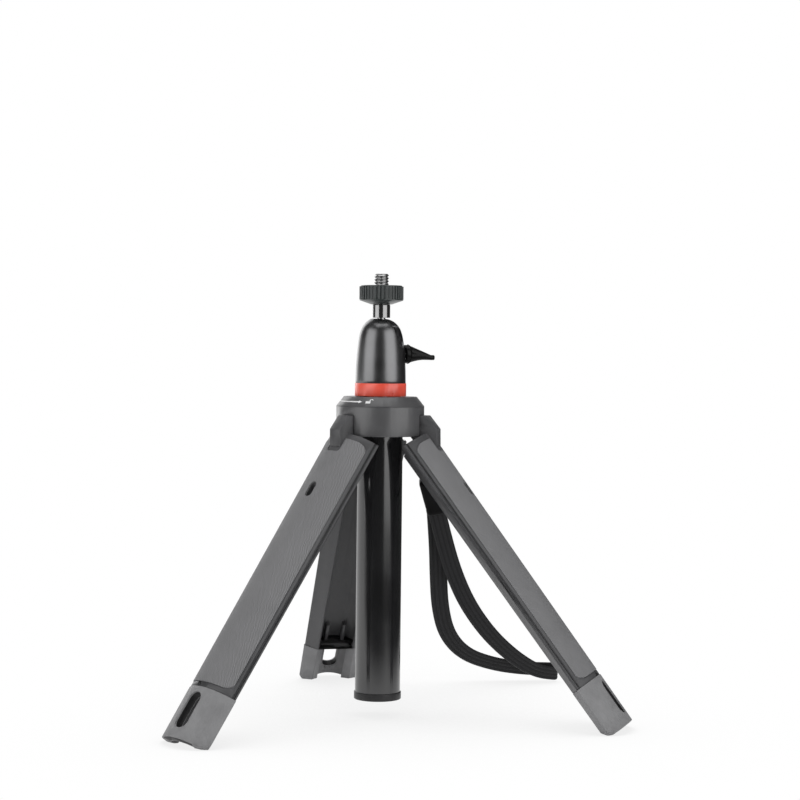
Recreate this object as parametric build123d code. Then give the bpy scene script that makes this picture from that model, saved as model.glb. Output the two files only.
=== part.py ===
from build123d import *
from math import asin, cos, degrees, radians, sin, sqrt, tan
import os

# Pocket tripod that folds into a selfie stick: a telescopic column with a small ball head on top,
# a hub that clamps the column, and three trough-shaped legs that close round it as a handle.
# All lengths are millimetres and all angles degrees. The origin is on the column's axis, on the face
# that the camera stands on. +Z is up and the rear leg points to +Y. The part is drawn standing, with
# the legs open and the column down.

# Clearances
SLIP = 0.05
PIN_SLIP = 0.05
STACK_GAP = 0.1
REST_GAP = 0.2
CUT_PAST = 1.0

# Camera stud and thumb wheel
STUD_R = 3.175
STUD_LENGTH = 5.0
STUD_RELIEF_R = 2.9
STUD_SHANK_R = 2.4
STUD_SHANK_LENGTH = 3.6
STUD_CHAMFER = 0.5
WHEEL_R = 9.55
WHEEL_RIM_HEIGHT = 6.5
WHEEL_CONE_HEIGHT = 1.6
WHEEL_CONE_R = 4.6
WHEEL_BEVEL = 0.5
KNURL_COUNT = 30
KNURL_R = 0.45
WHEEL_PAD_R = 8.2
WHEEL_PAD_BORE_R = 4.6
WHEEL_PAD_THICKNESS = 0.8
WHEEL_PAD_POCKET = 0.1

# Ball, neck and housing
NECK_R = 3.85
NECK_LENGTH = 4.85
NECK_EDGE = 0.4
NECK_ROOT_R = 1.8
BALL_R = 6.8
DOME_R = 9.3
DOME_CLEARANCE = 0.15
DOME_DROP = 3.6
SHOULDER_R = 9.85
SHOULDER_DROP = 2.2
WAIST_R = 10.4
WAIST_DROP = 7.8
HOUSING_R = 10.85
HOUSING_DROP = 19.6
MOUTH_R = 4.3
NOTCH_HALF_WIDTH = 4.1
NOTCH_FLARE_HEIGHT = 5.0
NOTCH_AZIMUTH = -31.0
CAVITY_R = 8.0
CAVITY_DROP = 5.0

# Ball seat, clamp lever and its screw
SEAT_R = 7.6
SEAT_TOP_DROP = 3.6
SEAT_HEIGHT = 6.4
SEAT_BORE_R = 2.6
SEAT_LIFT = 0.2
LEVER_AZIMUTH = 13.0
LEVER_DROP = 7.0
SCREW_R = 2.0
SCREW_TIP_R = 1.1
SCREW_TIP_LENGTH = 1.6
SCREW_REACH = 6.2
SCREW_GRIP = 5.0
DIMPLE_DEPTH = 1.2
DIMPLE_MARGIN = 0.45
LEVER_ROOT_R = 4.0
LEVER_BOSS = 2.2
LEVER_GAP = 0.35
LEVER_REACH = 13.4
LEVER_START_WIDTH = 7.4
LEVER_START_THICKNESS = 7.8
LEVER_WAIST_WIDTH = 7.9
LEVER_WAIST_THICKNESS = 4.4
LEVER_WAIST_DROP = 0.4
LEVER_TIP_WIDTH = 8.6
LEVER_TIP_THICKNESS = 2.2
LEVER_TIP_DROP = 1.4
LEVER_TIP_BLOCK = 1.6
LEVER_ROUNDING = 0.42

# Coloured ring and the plug that carries the head
RING_LIP = 0.25
RING_R = HOUSING_R + RING_LIP
RING_HEIGHT = 5.6
PLUG_HEAD_HEIGHT = 5.0
PLUG_DEPTH = 12.0
PLUG_PIN_R = 1.0
PLUG_PIN_DROP = 8.0

# Column
TUBE_R = 9.8
TUBE_WALL = 0.9
TUBE_STEP_GAP = 0.2
TUBE_LENGTH = 127.6
SECTION_COUNT = 4
PLUG_SHOULDER = 0.65
RING_BORE_R = TUBE_R - SECTION_COUNT * (TUBE_WALL + TUBE_STEP_GAP) + PLUG_SHOULDER
SECTION_SHORTER = 3.0
SECTION_TOP_STEP = 0.1
SECTION_FOOT_GAP = 6.5
BUSH_HEIGHT = 9.0
CAP_LIP = 0.4
CAP_R = TUBE_R + CAP_LIP
CAP_HEIGHT = 3.3
CAP_PLUG_HEIGHT = 5.0
CAP_WALL = 1.4
SECTION_LENGTH = TUBE_LENGTH - SECTION_TOP_STEP - CAP_PLUG_HEIGHT - SECTION_FOOT_GAP

# Lock ring and hub, built up outwards from the column that runs through them
LOCK_HEIGHT = 4.1
LOCK_CHAMFER = 3.2
LOCK_BORE_GAP = 0.3
LOCK_BORE_R = TUBE_R + LOCK_BORE_GAP
LOCK_WALL_TOP = 1.3
HUB_HEIGHT = 12.6
COLLET_WALL = 1.35
COLLET_R = TUBE_R + SLIP + COLLET_WALL
COLLET_HEIGHT = 5.2
COLLET_SLIT = 1.2
COLLAR_WALL = 2.0
COLLAR_R = COLLET_R + COLLAR_WALL
COLLAR_HEIGHT = 2.4
GUIDE_WALL = 0.85
GUIDE_R = TUBE_R + SLIP + GUIDE_WALL
GUIDE_HEIGHT = 8.8
KNUCKLE_R = 4.3
SLOT_WIDTH = 7.2
SLOT_BACK_WALL = 1.1
SLOT_BACK_R = GUIDE_R + SLOT_BACK_WALL
PIVOT_R = SLOT_BACK_R + KNUCKLE_R + STACK_GAP
PIVOT_COVER = 2.8
HUB_R = PIVOT_R + PIVOT_COVER
PLATE_LIP = 1.0
PLATE_R = HUB_R - PLATE_LIP
PLATE_THICKNESS = 1.5
PLATE_NECK_WALL = 1.0
PLATE_NECK_R = GUIDE_R + PLATE_NECK_WALL
HUB_SCREW_INSET = 4.2
HUB_SCREW_CIRCLE_R = HUB_R - HUB_SCREW_INSET
HUB_SCREW_R = 1.25
HUB_SCREW_HEAD_R = 2.2
HUB_SCREW_HEAD_HEIGHT = 0.9
HUB_SCREW_LENGTH = 7.0

# Leg hinge
LEG_AZIMUTHS = {"right": -30.0, "rear": 90.0, "left": 210.0}
OPEN_ANGLE = 37.5
PIVOT_RISE = 4.7
PIN_R = 1.2
PIN_LENGTH = 13.4
KNUCKLE_WIDTH = 6.6
STOP_FACE = 5.4
EAR_PROUD = 4.3
EAR_DROP = 7.3
EAR_END = 13.2

# Leg shell, grip pad and foot, measured down the leg from its pivot
LEG_TOP = 5.9
LEG_HALF_ANGLE = 56.5
LEG_TUBE_GAP = 0.7
LEG_INNER_R = TUBE_R + LEG_TUBE_GAP
LEG_WALL = 2.2
LEG_SIDE_WALL = 2.0
LEG_END_WALL = 2.6
LEG_END_RELIEF = 4.0
LEG_TAPER = 1.8
LEG_EDGE = 0.5
LEG_GROOVE_ANGLE = 51.5
LEG_GROOVE_HALF_ANGLE = 0.9
LEG_GROOVE_DEPTH = 0.35
FOOT_TOP = 131.2
FOOT_LENGTH = 23.4
FOOT_PROUD = 0.3
FOOT_HALF_ANGLE = 57.2
FOOT_WALL = 4.0
FOOT_HOLLOW_ANGLE = 33.0
FOOT_CORNER = 4.5
SOLE_DEPTH = 0.35
SPIGOT_ANGLE = 45.0
SPIGOT_INSET = 4.6
SPIGOT_WIDTH = 3.0
SPIGOT_DEPTH = 3.6
SPIGOT_LENGTH = 8.0
FOOT_SLOT_LENGTH = 16.6
FOOT_SLOT_WIDTH = 6.8
FOOT_SLOT_START = 2.4
RIB_OFFSET = 4.0
RIB_WIDTH = 1.6
RIB_HEIGHT = 2.0
RIB_LENGTH = 10.0
HOLE_AT = 35.0
HOLE_LENGTH = 7.4
HOLE_WIDTH = 3.8
PAD_HALF_ANGLE = 45.5
PAD_THICKNESS = 0.8
PAD_PROUD = 0.2
PAD_TOP = 8.6
PAD_END = 128.8
PAD_CORNER = 4.0
PAD_NOTCH_END = 15.4
PAD_NOTCH_MARGIN = 0.6
NICK_HALF_ANGLE = 10.0
NICK_DEPTH = 1.2

# Wrist strap. Its loop lies in a plane that leans back from the floor, and its line is given there
# as distance along the floor and distance up the slope.
STRAP_LEG = "right"
STRAP_FLOOR_POINT = (22.0, 94.5)
STRAP_HEADING = -13.1
STRAP_SLOPE = 58.7
WEBBING_WIDTH = 8.2
WEBBING_THICKNESS = 1.3
FOLD_R = 1.6
FOLD_OVERLAP = 1.0
FRONT_RUN = [(25.2, 103.9), (30.2, 81.5), (35.2, 63.5), (41.8, 46.5), (51.2, 30.5), (61.0, 18.6),
             (70.6, 10.0), (77.6, 6.0), (84.0, 5.0)]
BACK_RUN = [(25.2, 103.9), (27.1, 80.5), (27.8, 61.0), (29.0, 42.0), (32.6, 25.6), (41.2, 13.8),
            (55.0, 7.8), (70.0, 5.2), (84.0, 5.0)]
SLEEVE_TOP = (21.9, 117.2)
SLEEVE_BOTTOM = (26.4, 99.1)
SLEEVE_WIDTH = 9.6
SLEEVE_THICKNESS = 7.0
SLEEVE_CORNER = 1.6
CORD_R = 0.9
KNOT_R = 2.1
KNOT_THICKNESS = 2.1
KNOT_GAP = 0.35
PLUG_INSET = 0.7
CORD_LEAD_IN = 11.0
CORD_DEPTH_IN_SLEEVE = 3.0
# Distance out from the leg's own column line, sideways towards the rear leg, and down the leg
CORD_ON_LEG = [(9.8, 0.0, 35.0), (3.4, 5.0, 31.5), (1.0, 13.5, 24.0), (2.6, 24.0, 14.5)]

# Heights that follow from the sizes above
NECK_TOP_Z = -(WHEEL_RIM_HEIGHT + WHEEL_CONE_HEIGHT + STACK_GAP)
BALL_Z = NECK_TOP_Z - NECK_LENGTH - DOME_CLEARANCE - DOME_R
HOUSING_BASE_Z = BALL_Z - HOUSING_DROP
RING_BASE_Z = HOUSING_BASE_Z - RING_HEIGHT
LOCK_TOP_Z = RING_BASE_Z - REST_GAP
LOCK_BASE_Z = LOCK_TOP_Z - LOCK_HEIGHT
HUB_TOP_Z = LOCK_BASE_Z - STACK_GAP
HUB_BASE_Z = HUB_TOP_Z - HUB_HEIGHT
PIVOT_Z = HUB_BASE_Z + PIVOT_RISE
SLOT_TOP_Z = PIVOT_Z + KNUCKLE_R + STACK_GAP
TUBE_TOP_Z = RING_BASE_Z - REST_GAP
TUBE_BASE_Z = TUBE_TOP_Z - TUBE_LENGTH
LEG_END = FOOT_TOP + FOOT_LENGTH
LEG_EDGE_R = (HUB_R - LEG_TAPER) * cos(radians(LEG_HALF_ANGLE))
FLOOR_Z = (PIVOT_Z + (LEG_EDGE_R - PIVOT_R) * sin(radians(OPEN_ANGLE))
           - LEG_END * cos(radians(OPEN_ANGLE)) + SOLE_DEPTH)
LEVER_Z = BALL_Z - LEVER_DROP
SEAT_SPHERE_R = BALL_R + SLIP
MUCH = 60.0


def turned(points):
    """Solid turned about the column's axis from corners given as radius and height."""
    return revolve(Plane.XZ * Polygon(*points, align=None), Axis.Z)


def tube(outer_r, inner_r, top_z, base_z):
    """Plain tube on the column's axis."""
    return turned([(inner_r, base_z), (outer_r, base_z), (outer_r, top_z), (inner_r, top_z)])


def disc(radius, top_z, base_z):
    """Plain round bar on the column's axis."""
    return Pos(0, 0, (top_z + base_z) / 2) * Cylinder(radius, top_z - base_z)


def radial_bar(radius, start_r, end_r, height_z, azimuth):
    """Round bar that points straight out from the column."""
    bar = Pos((start_r + end_r) / 2, 0, height_z) * Rot(0, 90, 0) * Cylinder(radius, end_r - start_r)
    return bar.rotate(Axis.Z, azimuth)


def camera_stud():
    """Threaded end over the wheel, a relieved length inside it and a shank in the neck."""
    thread = disc(STUD_R, STUD_LENGTH, 0)
    thread = chamfer(thread.edges().group_by(Axis.Z)[-1], STUD_CHAMFER)
    thread += disc(STUD_RELIEF_R, 0, NECK_TOP_Z + STACK_GAP)
    shank = disc(STUD_SHANK_R, NECK_TOP_Z + STACK_GAP, NECK_TOP_Z - STUD_SHANK_LENGTH)
    return thread + shank


def thumb_wheel():
    cone_z = -WHEEL_RIM_HEIGHT - WHEEL_CONE_HEIGHT
    bore_r = STUD_RELIEF_R + SLIP
    wheel = turned([
        (bore_r, 0), (WHEEL_R - WHEEL_BEVEL, 0), (WHEEL_R, -WHEEL_BEVEL),
        (WHEEL_R, WHEEL_BEVEL - WHEEL_RIM_HEIGHT), (WHEEL_R - WHEEL_BEVEL, -WHEEL_RIM_HEIGHT),
        (WHEEL_CONE_R, cone_z), (bore_r, cone_z)])
    groove = Pos(0, 0, -WHEEL_RIM_HEIGHT / 2) * Cylinder(KNURL_R, WHEEL_RIM_HEIGHT * 2)
    wheel -= [spot * groove for spot in PolarLocations(WHEEL_R, KNURL_COUNT)]
    outer_r = WHEEL_PAD_R + WHEEL_PAD_POCKET
    return wheel - tube(outer_r, WHEEL_PAD_BORE_R - WHEEL_PAD_POCKET, CUT_PAST, -WHEEL_PAD_THICKNESS)


def wheel_pad():
    return tube(WHEEL_PAD_R, WHEEL_PAD_BORE_R, 0, -WHEEL_PAD_THICKNESS)


def neck():
    """Thick stem, hollowed below to ride over the dome, and a thin root down to the ball."""
    stem = disc(NECK_R, NECK_TOP_Z, BALL_Z) - Pos(0, 0, BALL_Z) * Sphere(DOME_R + DOME_CLEARANCE)
    stem = fillet(stem.edges().group_by(Axis.Z)[-1], NECK_EDGE)
    root = disc(NECK_ROOT_R, NECK_TOP_Z - NECK_LENGTH, BALL_Z)
    root -= Pos(0, 0, BALL_Z) * Sphere(BALL_R + SLIP)
    bore_base_z = NECK_TOP_Z - STUD_SHANK_LENGTH - STACK_GAP
    return stem + root - disc(STUD_SHANK_R + SLIP, NECK_TOP_Z + CUT_PAST, bore_base_z)


def swivel_ball():
    return Pos(0, 0, BALL_Z) * Sphere(BALL_R)


def housing_blank():
    """Bullet outline: a round dome that runs into a slowly widening body."""
    rim_z = BALL_Z + DOME_DROP
    rim_r = sqrt(DOME_R ** 2 - DOME_DROP ** 2)
    half_way = radians(90 - degrees(asin(DOME_DROP / DOME_R))) / 2
    dome = ThreePointArc(
        (0, BALL_Z + DOME_R), (DOME_R * sin(half_way), BALL_Z + DOME_R * cos(half_way)), (rim_r, rim_z))
    side = Spline(
        (rim_r, rim_z), (SHOULDER_R, BALL_Z - SHOULDER_DROP), (WAIST_R, BALL_Z - WAIST_DROP),
        (HOUSING_R, HOUSING_BASE_Z), tangents=[(DOME_DROP, -rim_r), (0, -1)])
    base = Polyline((HOUSING_R, HOUSING_BASE_Z), (0, HOUSING_BASE_Z), (0, BALL_Z + DOME_R))
    return revolve(Plane.XZ * make_face(Curve() + [dome, side, base]), Axis.Z)


def notch_cutter():
    """U-shaped slot that lets the neck drop to the horizontal, wider towards the mouth."""
    top = DOME_R + CUT_PAST
    reach = HOUSING_R + CUT_PAST
    side = Polyline(
        (-NOTCH_HALF_WIDTH, 0), (-MOUTH_R, NOTCH_FLARE_HEIGHT), (-MOUTH_R, top), (MOUTH_R, top),
        (MOUTH_R, NOTCH_FLARE_HEIGHT), (NOTCH_HALF_WIDTH, 0), close=True)
    flare = extrude(Plane.YZ * make_face(side), reach)
    groove = Pos(reach / 2, 0, 0) * Rot(0, 90, 0) * Cylinder(NOTCH_HALF_WIDTH, reach)
    return (Pos(0, 0, BALL_Z) * (flare + groove)).rotate(Axis.Z, NOTCH_AZIMUTH)


def ball_housing():
    shell = housing_blank()
    shell -= disc(MOUTH_R, 0, BALL_Z)
    shell -= Pos(0, 0, BALL_Z) * Sphere(SEAT_SPHERE_R)
    shell -= notch_cutter()
    cavity_z = BALL_Z - CAVITY_DROP
    shell -= disc(CAVITY_R, cavity_z, HOUSING_BASE_Z - CUT_PAST)
    funnel_r = sqrt(SEAT_SPHERE_R ** 2 - SEAT_TOP_DROP ** 2)
    low_z = cavity_z - CUT_PAST
    shell -= turned([(0, BALL_Z), (SEAT_SPHERE_R, BALL_Z), (CAVITY_R, cavity_z), (CAVITY_R, low_z),
                     (0, low_z), (0, BALL_Z - funnel_r)])
    return shell - radial_bar(SCREW_R + SLIP, SCREW_GRIP, HOUSING_R + CUT_PAST, LEVER_Z, LEVER_AZIMUTH)


def ball_seat():
    """Plastic cup under the ball. The screw's tip lifts it through a dimple in its side."""
    top_z = BALL_Z - SEAT_TOP_DROP
    cup = disc(SEAT_R, top_z - SEAT_LIFT, top_z - SEAT_HEIGHT)
    cup -= Pos(0, 0, BALL_Z) * Sphere(SEAT_SPHERE_R)
    cup -= disc(SEAT_BORE_R, top_z + CUT_PAST, top_z - SEAT_HEIGHT - CUT_PAST)
    tip_r = SCREW_TIP_R + DIMPLE_MARGIN
    entry_r = SCREW_R + DIMPLE_MARGIN
    end_r = SEAT_R + CUT_PAST
    dimple = radial_bar(tip_r, SCREW_REACH - DIMPLE_MARGIN, end_r, LEVER_Z, LEVER_AZIMUTH)
    entry = radial_bar(entry_r, SEAT_R - DIMPLE_DEPTH / 2, end_r, LEVER_Z, LEVER_AZIMUTH)
    return cup - dimple - entry


def clamp_screw():
    tip = radial_bar(SCREW_TIP_R, SCREW_REACH, SCREW_REACH + SCREW_TIP_LENGTH, LEVER_Z, LEVER_AZIMUTH)
    shank_start = SCREW_REACH + SCREW_TIP_LENGTH
    shank_end = WAIST_R + LEVER_GAP + LEVER_BOSS
    return tip + radial_bar(SCREW_R, shank_start, shank_end, LEVER_Z, LEVER_AZIMUTH)


def wing_face(along, drop, width, thickness):
    """Rounded cross-section of the lever, at a distance out from the column."""
    place = Plane(origin=(along, 0, -drop), x_dir=(0, 1, 0), z_dir=(1, 0, 0))
    return place * RectangleRounded(width, thickness, LEVER_ROUNDING * min(width, thickness))


def clamp_lever():
    """Round boss that flattens into a small wing."""
    root_x = WAIST_R + LEVER_GAP
    neck_x = root_x + LEVER_BOSS
    tip_x = root_x + LEVER_REACH - LEVER_TIP_BLOCK
    middle_x = (neck_x + tip_x) / 2
    start = wing_face(neck_x, 0, LEVER_START_WIDTH, LEVER_START_THICKNESS)
    middle = wing_face(middle_x, LEVER_WAIST_DROP, LEVER_WAIST_WIDTH, LEVER_WAIST_THICKNESS)
    end = wing_face(tip_x, LEVER_TIP_DROP, LEVER_TIP_WIDTH, LEVER_TIP_THICKNESS)
    boss_place = Pos((root_x + neck_x) / 2, 0, 0) * Rot(0, 90, 0)
    lever = boss_place * Cylinder(LEVER_ROOT_R, LEVER_BOSS)
    lever += loft([start, middle, end])
    lever += extrude(end, LEVER_TIP_BLOCK)
    lever -= boss_place * Cylinder(SCREW_R, LEVER_BOSS)
    return (Pos(0, 0, LEVER_Z) * lever).rotate(Axis.Z, LEVER_AZIMUTH)


def section_outer_r(index):
    """Outer radius of the outer tube (index 0) or of a section inside it."""
    return TUBE_R - index * (TUBE_WALL + TUBE_STEP_GAP)


def section_base_z(index):
    return section_top_z(index) - SECTION_LENGTH + (index - 1) * SECTION_SHORTER


def section_top_z(index):
    return TUBE_TOP_Z - index * SECTION_TOP_STEP


def head_plug():
    """Turned plug that joins the ball housing, the ring and the innermost section."""
    spigot_r = section_outer_r(SECTION_COUNT) - TUBE_WALL
    head = disc(CAVITY_R, HOUSING_BASE_Z + PLUG_HEAD_HEIGHT, HOUSING_BASE_Z)
    middle = disc(RING_BORE_R, HOUSING_BASE_Z, RING_BASE_Z)
    spigot = disc(spigot_r, RING_BASE_Z, RING_BASE_Z - PLUG_DEPTH)
    return head + middle + spigot - plug_pin_bar()


def plug_pin_bar():
    length = 2 * section_outer_r(SECTION_COUNT) - TUBE_WALL
    return Pos(0, 0, RING_BASE_Z - PLUG_PIN_DROP) * Rot(90, 0, 0) * Cylinder(PLUG_PIN_R, length)


def colour_ring():
    return tube(RING_R, RING_BORE_R, HOUSING_BASE_Z, RING_BASE_Z)


def outer_tube():
    return tube(TUBE_R, TUBE_R - TUBE_WALL, TUBE_TOP_Z, TUBE_BASE_Z)


def tube_end_cap():
    plug_r = TUBE_R - TUBE_WALL
    base_z = TUBE_BASE_Z - CAP_HEIGHT
    cap = disc(CAP_R, TUBE_BASE_Z, base_z)
    cap = fillet(cap.edges(), CAP_HEIGHT / 8)
    plug = tube(plug_r, plug_r - CAP_WALL, TUBE_BASE_Z + CAP_PLUG_HEIGHT, TUBE_BASE_Z)
    return cap + plug


def section(index):
    """Inner section, turned down at its foot for the friction bush and drilled for the head's pin."""
    outer_r = section_outer_r(index)
    top_z = section_top_z(index)
    base_z = section_base_z(index)
    body = tube(outer_r, outer_r - TUBE_WALL, top_z, base_z)
    body -= tube(outer_r + CUT_PAST, outer_r - TUBE_WALL / 2, base_z + BUSH_HEIGHT, base_z - CUT_PAST)
    if index == SECTION_COUNT:
        body -= plug_pin_bar()
    return body


def friction_bush(index):
    """Plastic sleeve on the foot of a section that drags on the tube round it."""
    seat_r = section_outer_r(index) - TUBE_WALL / 2
    outer_r = section_outer_r(index - 1) - TUBE_WALL - SLIP
    base_z = section_base_z(index)
    return tube(outer_r, seat_r, base_z + BUSH_HEIGHT, base_z)


def lock_ring():
    """Chamfered twist ring on top of the hub."""
    ring = turned([
        (LOCK_BORE_R, LOCK_TOP_Z), (HUB_R - LOCK_CHAMFER, LOCK_TOP_Z), (HUB_R, LOCK_BASE_Z + STACK_GAP),
        (HUB_R, LOCK_BASE_Z), (COLLAR_R + STACK_GAP, LOCK_BASE_Z),
        (COLLAR_R + STACK_GAP, LOCK_TOP_Z - LOCK_WALL_TOP), (LOCK_BORE_R, LOCK_TOP_Z - LOCK_WALL_TOP)])
    return ring


def lock_collet():
    """Split plastic collet that the lock ring squeezes onto the tube."""
    top_z = HUB_TOP_Z + COLLAR_HEIGHT
    collet = tube(COLLET_R, TUBE_R + SLIP, top_z, top_z - COLLET_HEIGHT)
    slit = Pos(TUBE_R, 0, top_z) * Box(COLLET_R, COLLET_SLIT, COLLET_HEIGHT * 3)
    return collet - slit.rotate(Axis.Z, LEG_AZIMUTHS["left"])


def guide_bush():
    return tube(GUIDE_R, TUBE_R + SLIP, HUB_BASE_Z + GUIDE_HEIGHT, HUB_BASE_Z)


def slot_cutters(width, top_z, base_z):
    """Three radial boxes, one at each leg, open to the outside and below."""
    depth = HUB_R + EAR_PROUD - SLOT_BACK_R
    box = Pos(SLOT_BACK_R + depth / 2, 0, (top_z + base_z) / 2) * Box(depth, width, top_z - base_z)
    return [box.rotate(Axis.Z, azimuth) for azimuth in LEG_AZIMUTHS.values()]


def tangential_pin(radius, length):
    return Pos(PIVOT_R, 0, PIVOT_Z) * Rot(90, 0, 0) * Cylinder(radius, length)


def at_legs(shape):
    """Copies of a shape drawn for a leg on +X, one at each leg."""
    return [shape.rotate(Axis.Z, azimuth) for azimuth in LEG_AZIMUTHS.values()]


def between_legs(shape):
    """Copies of a shape drawn on +X, one half way between each two legs."""
    return [shape.rotate(Axis.Z, azimuth + 60) for azimuth in LEG_AZIMUTHS.values()]


def hub_screw():
    head = disc(HUB_SCREW_HEAD_R, HUB_BASE_Z + HUB_SCREW_HEAD_HEIGHT, HUB_BASE_Z)
    shank = disc(HUB_SCREW_R, HUB_BASE_Z + HUB_SCREW_LENGTH, HUB_BASE_Z + HUB_SCREW_HEAD_HEIGHT)
    return Pos(HUB_SCREW_CIRCLE_R, 0, 0) * (head + shank)


def hub_body():
    guide_top_z = HUB_BASE_Z + GUIDE_HEIGHT
    collet_base_z = HUB_TOP_Z + COLLAR_HEIGHT - COLLET_HEIGHT
    hub = disc(HUB_R, HUB_TOP_Z, HUB_BASE_Z)
    hub = fillet(hub.edges().group_by(Axis.Z)[0], LEG_EDGE)
    hub += disc(COLLAR_R, HUB_TOP_Z + COLLAR_HEIGHT, HUB_TOP_Z)
    low_z = HUB_BASE_Z - CUT_PAST
    hub -= disc(TUBE_R + REST_GAP, HUB_TOP_Z + MUCH, low_z)
    hub -= disc(COLLET_R, HUB_TOP_Z + MUCH, collet_base_z)
    hub -= disc(GUIDE_R, guide_top_z, low_z)
    hub -= slot_cutters(SLOT_WIDTH, SLOT_TOP_Z, low_z)
    hub -= at_legs(tangential_pin(PIN_R, PIN_LENGTH))
    hub -= disc(PLATE_R, HUB_BASE_Z + PLATE_THICKNESS, low_z)
    return hub - between_legs(hub_screw())


def hub_plate():
    """Cover on the hub's underside, held by three small screws."""
    plate = tube(PLATE_R, GUIDE_R, HUB_BASE_Z + PLATE_THICKNESS, HUB_BASE_Z)
    depth = HUB_R - PLATE_NECK_R
    box = Pos(PLATE_NECK_R + depth / 2, 0, HUB_BASE_Z) * Box(depth, SLOT_WIDTH, PLATE_THICKNESS * 3)
    return plate - at_legs(box) - between_legs(hub_screw())


def down_leg(distance):
    """Height of a point on the folded leg, at a distance down from its pivot."""
    return PIVOT_Z - distance


def skin_r(distance):
    """Radius of the leg's tapered outer face, at a distance down from its pivot."""
    return HUB_R - LEG_TAPER * (distance - LEG_TOP) / (LEG_END - LEG_TOP)


def skin_sector(depth, outset, half_angle, start, end):
    """Slice that follows the leg's outer face, from a depth below it to an outset over it."""
    face = Polygon(
        (skin_r(start) - depth, down_leg(start)), (skin_r(start) + outset, down_leg(start)),
        (skin_r(end) + outset, down_leg(end)), (skin_r(end) - depth, down_leg(end)), align=None)
    return revolve(Plane.XZ * face, Axis.Z, 2 * half_angle).rotate(Axis.Z, -half_angle)


def knuckle():
    """Hinge ear of a folded leg. Its flat top face meets the slot's ceiling when the leg is open."""
    lean = radians(OPEN_ANGLE)
    face_start = (KNUCKLE_R * sin(lean), KNUCKLE_R * cos(lean))
    face_end = (face_start[0] + STOP_FACE * cos(lean), face_start[1] - STOP_FACE * sin(lean))
    outer = HUB_R + EAR_PROUD - PIVOT_R
    skin = skin_r(EAR_END) - PIVOT_R
    inner = skin - LEG_WALL
    profile = Polygon(
        face_start, face_end, (outer, -EAR_DROP), (skin, -EAR_END), (inner, -EAR_END),
        (inner, -LEG_TOP - LEG_END_WALL), (-KNUCKLE_R, -LEG_TOP - LEG_END_WALL), (-KNUCKLE_R, 0), (0, 0),
        align=None)
    profile += Circle(KNUCKLE_R)
    ear = extrude(Plane.XZ * profile, KNUCKLE_WIDTH / 2, both=True)
    return Pos(PIVOT_R, 0, PIVOT_Z) * ear - tangential_pin(PIN_R + PIN_SLIP, SLOT_WIDTH)


def leg_slot(length, width, centre):
    """Round-ended slot through the leg's outer wall."""
    outline = Plane.YZ * SlotOverall(length, width, rotation=90)
    return extrude(Pos(0, 0, down_leg(centre)) * outline, HUB_R + EAR_PROUD)


def pad_blank():
    """Rounded sheet let into the leg's outer face, open round the knuckle."""
    sheet = skin_sector(PAD_THICKNESS - PAD_PROUD, PAD_PROUD, PAD_HALF_ANGLE, PAD_TOP, PAD_END)
    sheet &= face_outline(PAD_PROUD, PAD_HALF_ANGLE, PAD_TOP, PAD_END, PAD_CORNER, 4)
    notch_length = 2 * (PAD_NOTCH_END - PAD_TOP)
    notch = Plane.YZ * RectangleRounded(
        KNUCKLE_WIDTH + 2 * PAD_NOTCH_MARGIN, notch_length, KNUCKLE_WIDTH / 4)
    return sheet - extrude(Pos(0, 0, down_leg(PAD_TOP)) * notch, HUB_R * 2)


def spigots(grow):
    """Two tabs at the end of the shell that go into the foot's cheeks."""
    tab = Box(SPIGOT_DEPTH + 2 * grow, SPIGOT_WIDTH + 2 * grow, SPIGOT_LENGTH + grow)
    tab = Pos(skin_r(FOOT_TOP) - SPIGOT_INSET, 0, down_leg(FOOT_TOP + (SPIGOT_LENGTH + grow) / 2)) * tab
    return [tab.rotate(Axis.Z, side * SPIGOT_ANGLE) for side in (-1, 1)]


def face_outline(outset, half_angle, start, end, corner, rounded):
    """Bar with the outline that a piece of the leg has face on. Its lowest corners are rounded."""
    start_half = (skin_r(start) + outset) * sin(radians(half_angle))
    end_half = (skin_r(end) + outset) * sin(radians(half_angle))
    outline = Polygon(
        (-end_half, down_leg(end)), (end_half, down_leg(end)), (start_half, down_leg(start)),
        (-start_half, down_leg(start)), align=None)
    outline = fillet(outline.vertices().sort_by(Axis.Y)[:rounded], corner)
    return extrude(Plane.YZ * outline, 2 * HUB_R)


def tapered_slice(inner_r, outset, half_angle, start, end):
    """Slice of a tapered tube from a plain bore to an outset over the leg's outer face."""
    face = Polygon(
        (inner_r, down_leg(start)), (skin_r(start) + outset, down_leg(start)),
        (skin_r(end) + outset, down_leg(end)), (inner_r, down_leg(end)), align=None)
    return revolve(Plane.XZ * face, Axis.Z, 2 * half_angle).rotate(Axis.Z, -half_angle)


def leg_hollow(wall, half_angle, start, end):
    """Cutter for the inside of a leg, open to the column."""
    return tapered_slice(LEG_INNER_R / 2, -wall, half_angle, start, end)


def leg_blank(outset, half_angle, start, end):
    """Leg's outline as a tapered slice of a tube with its four long edges rounded."""
    blank = tapered_slice(LEG_INNER_R, outset, half_angle, start, end)
    long_edges = [edge for edge in blank.edges().filter_by(GeomType.LINE)
                  if edge.bounding_box().size.Z > (end - start) / 2]
    return fillet(long_edges, LEG_EDGE)


def edge_grooves():
    """Fine groove beside each long edge of a leg's outer face."""
    groove = skin_sector(LEG_GROOVE_DEPTH, CUT_PAST, LEG_GROOVE_HALF_ANGLE,
                         LEG_TOP - CUT_PAST, FOOT_TOP + CUT_PAST)
    return [groove.rotate(Axis.Z, side * LEG_GROOVE_ANGLE) for side in (-1, 1)]


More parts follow.
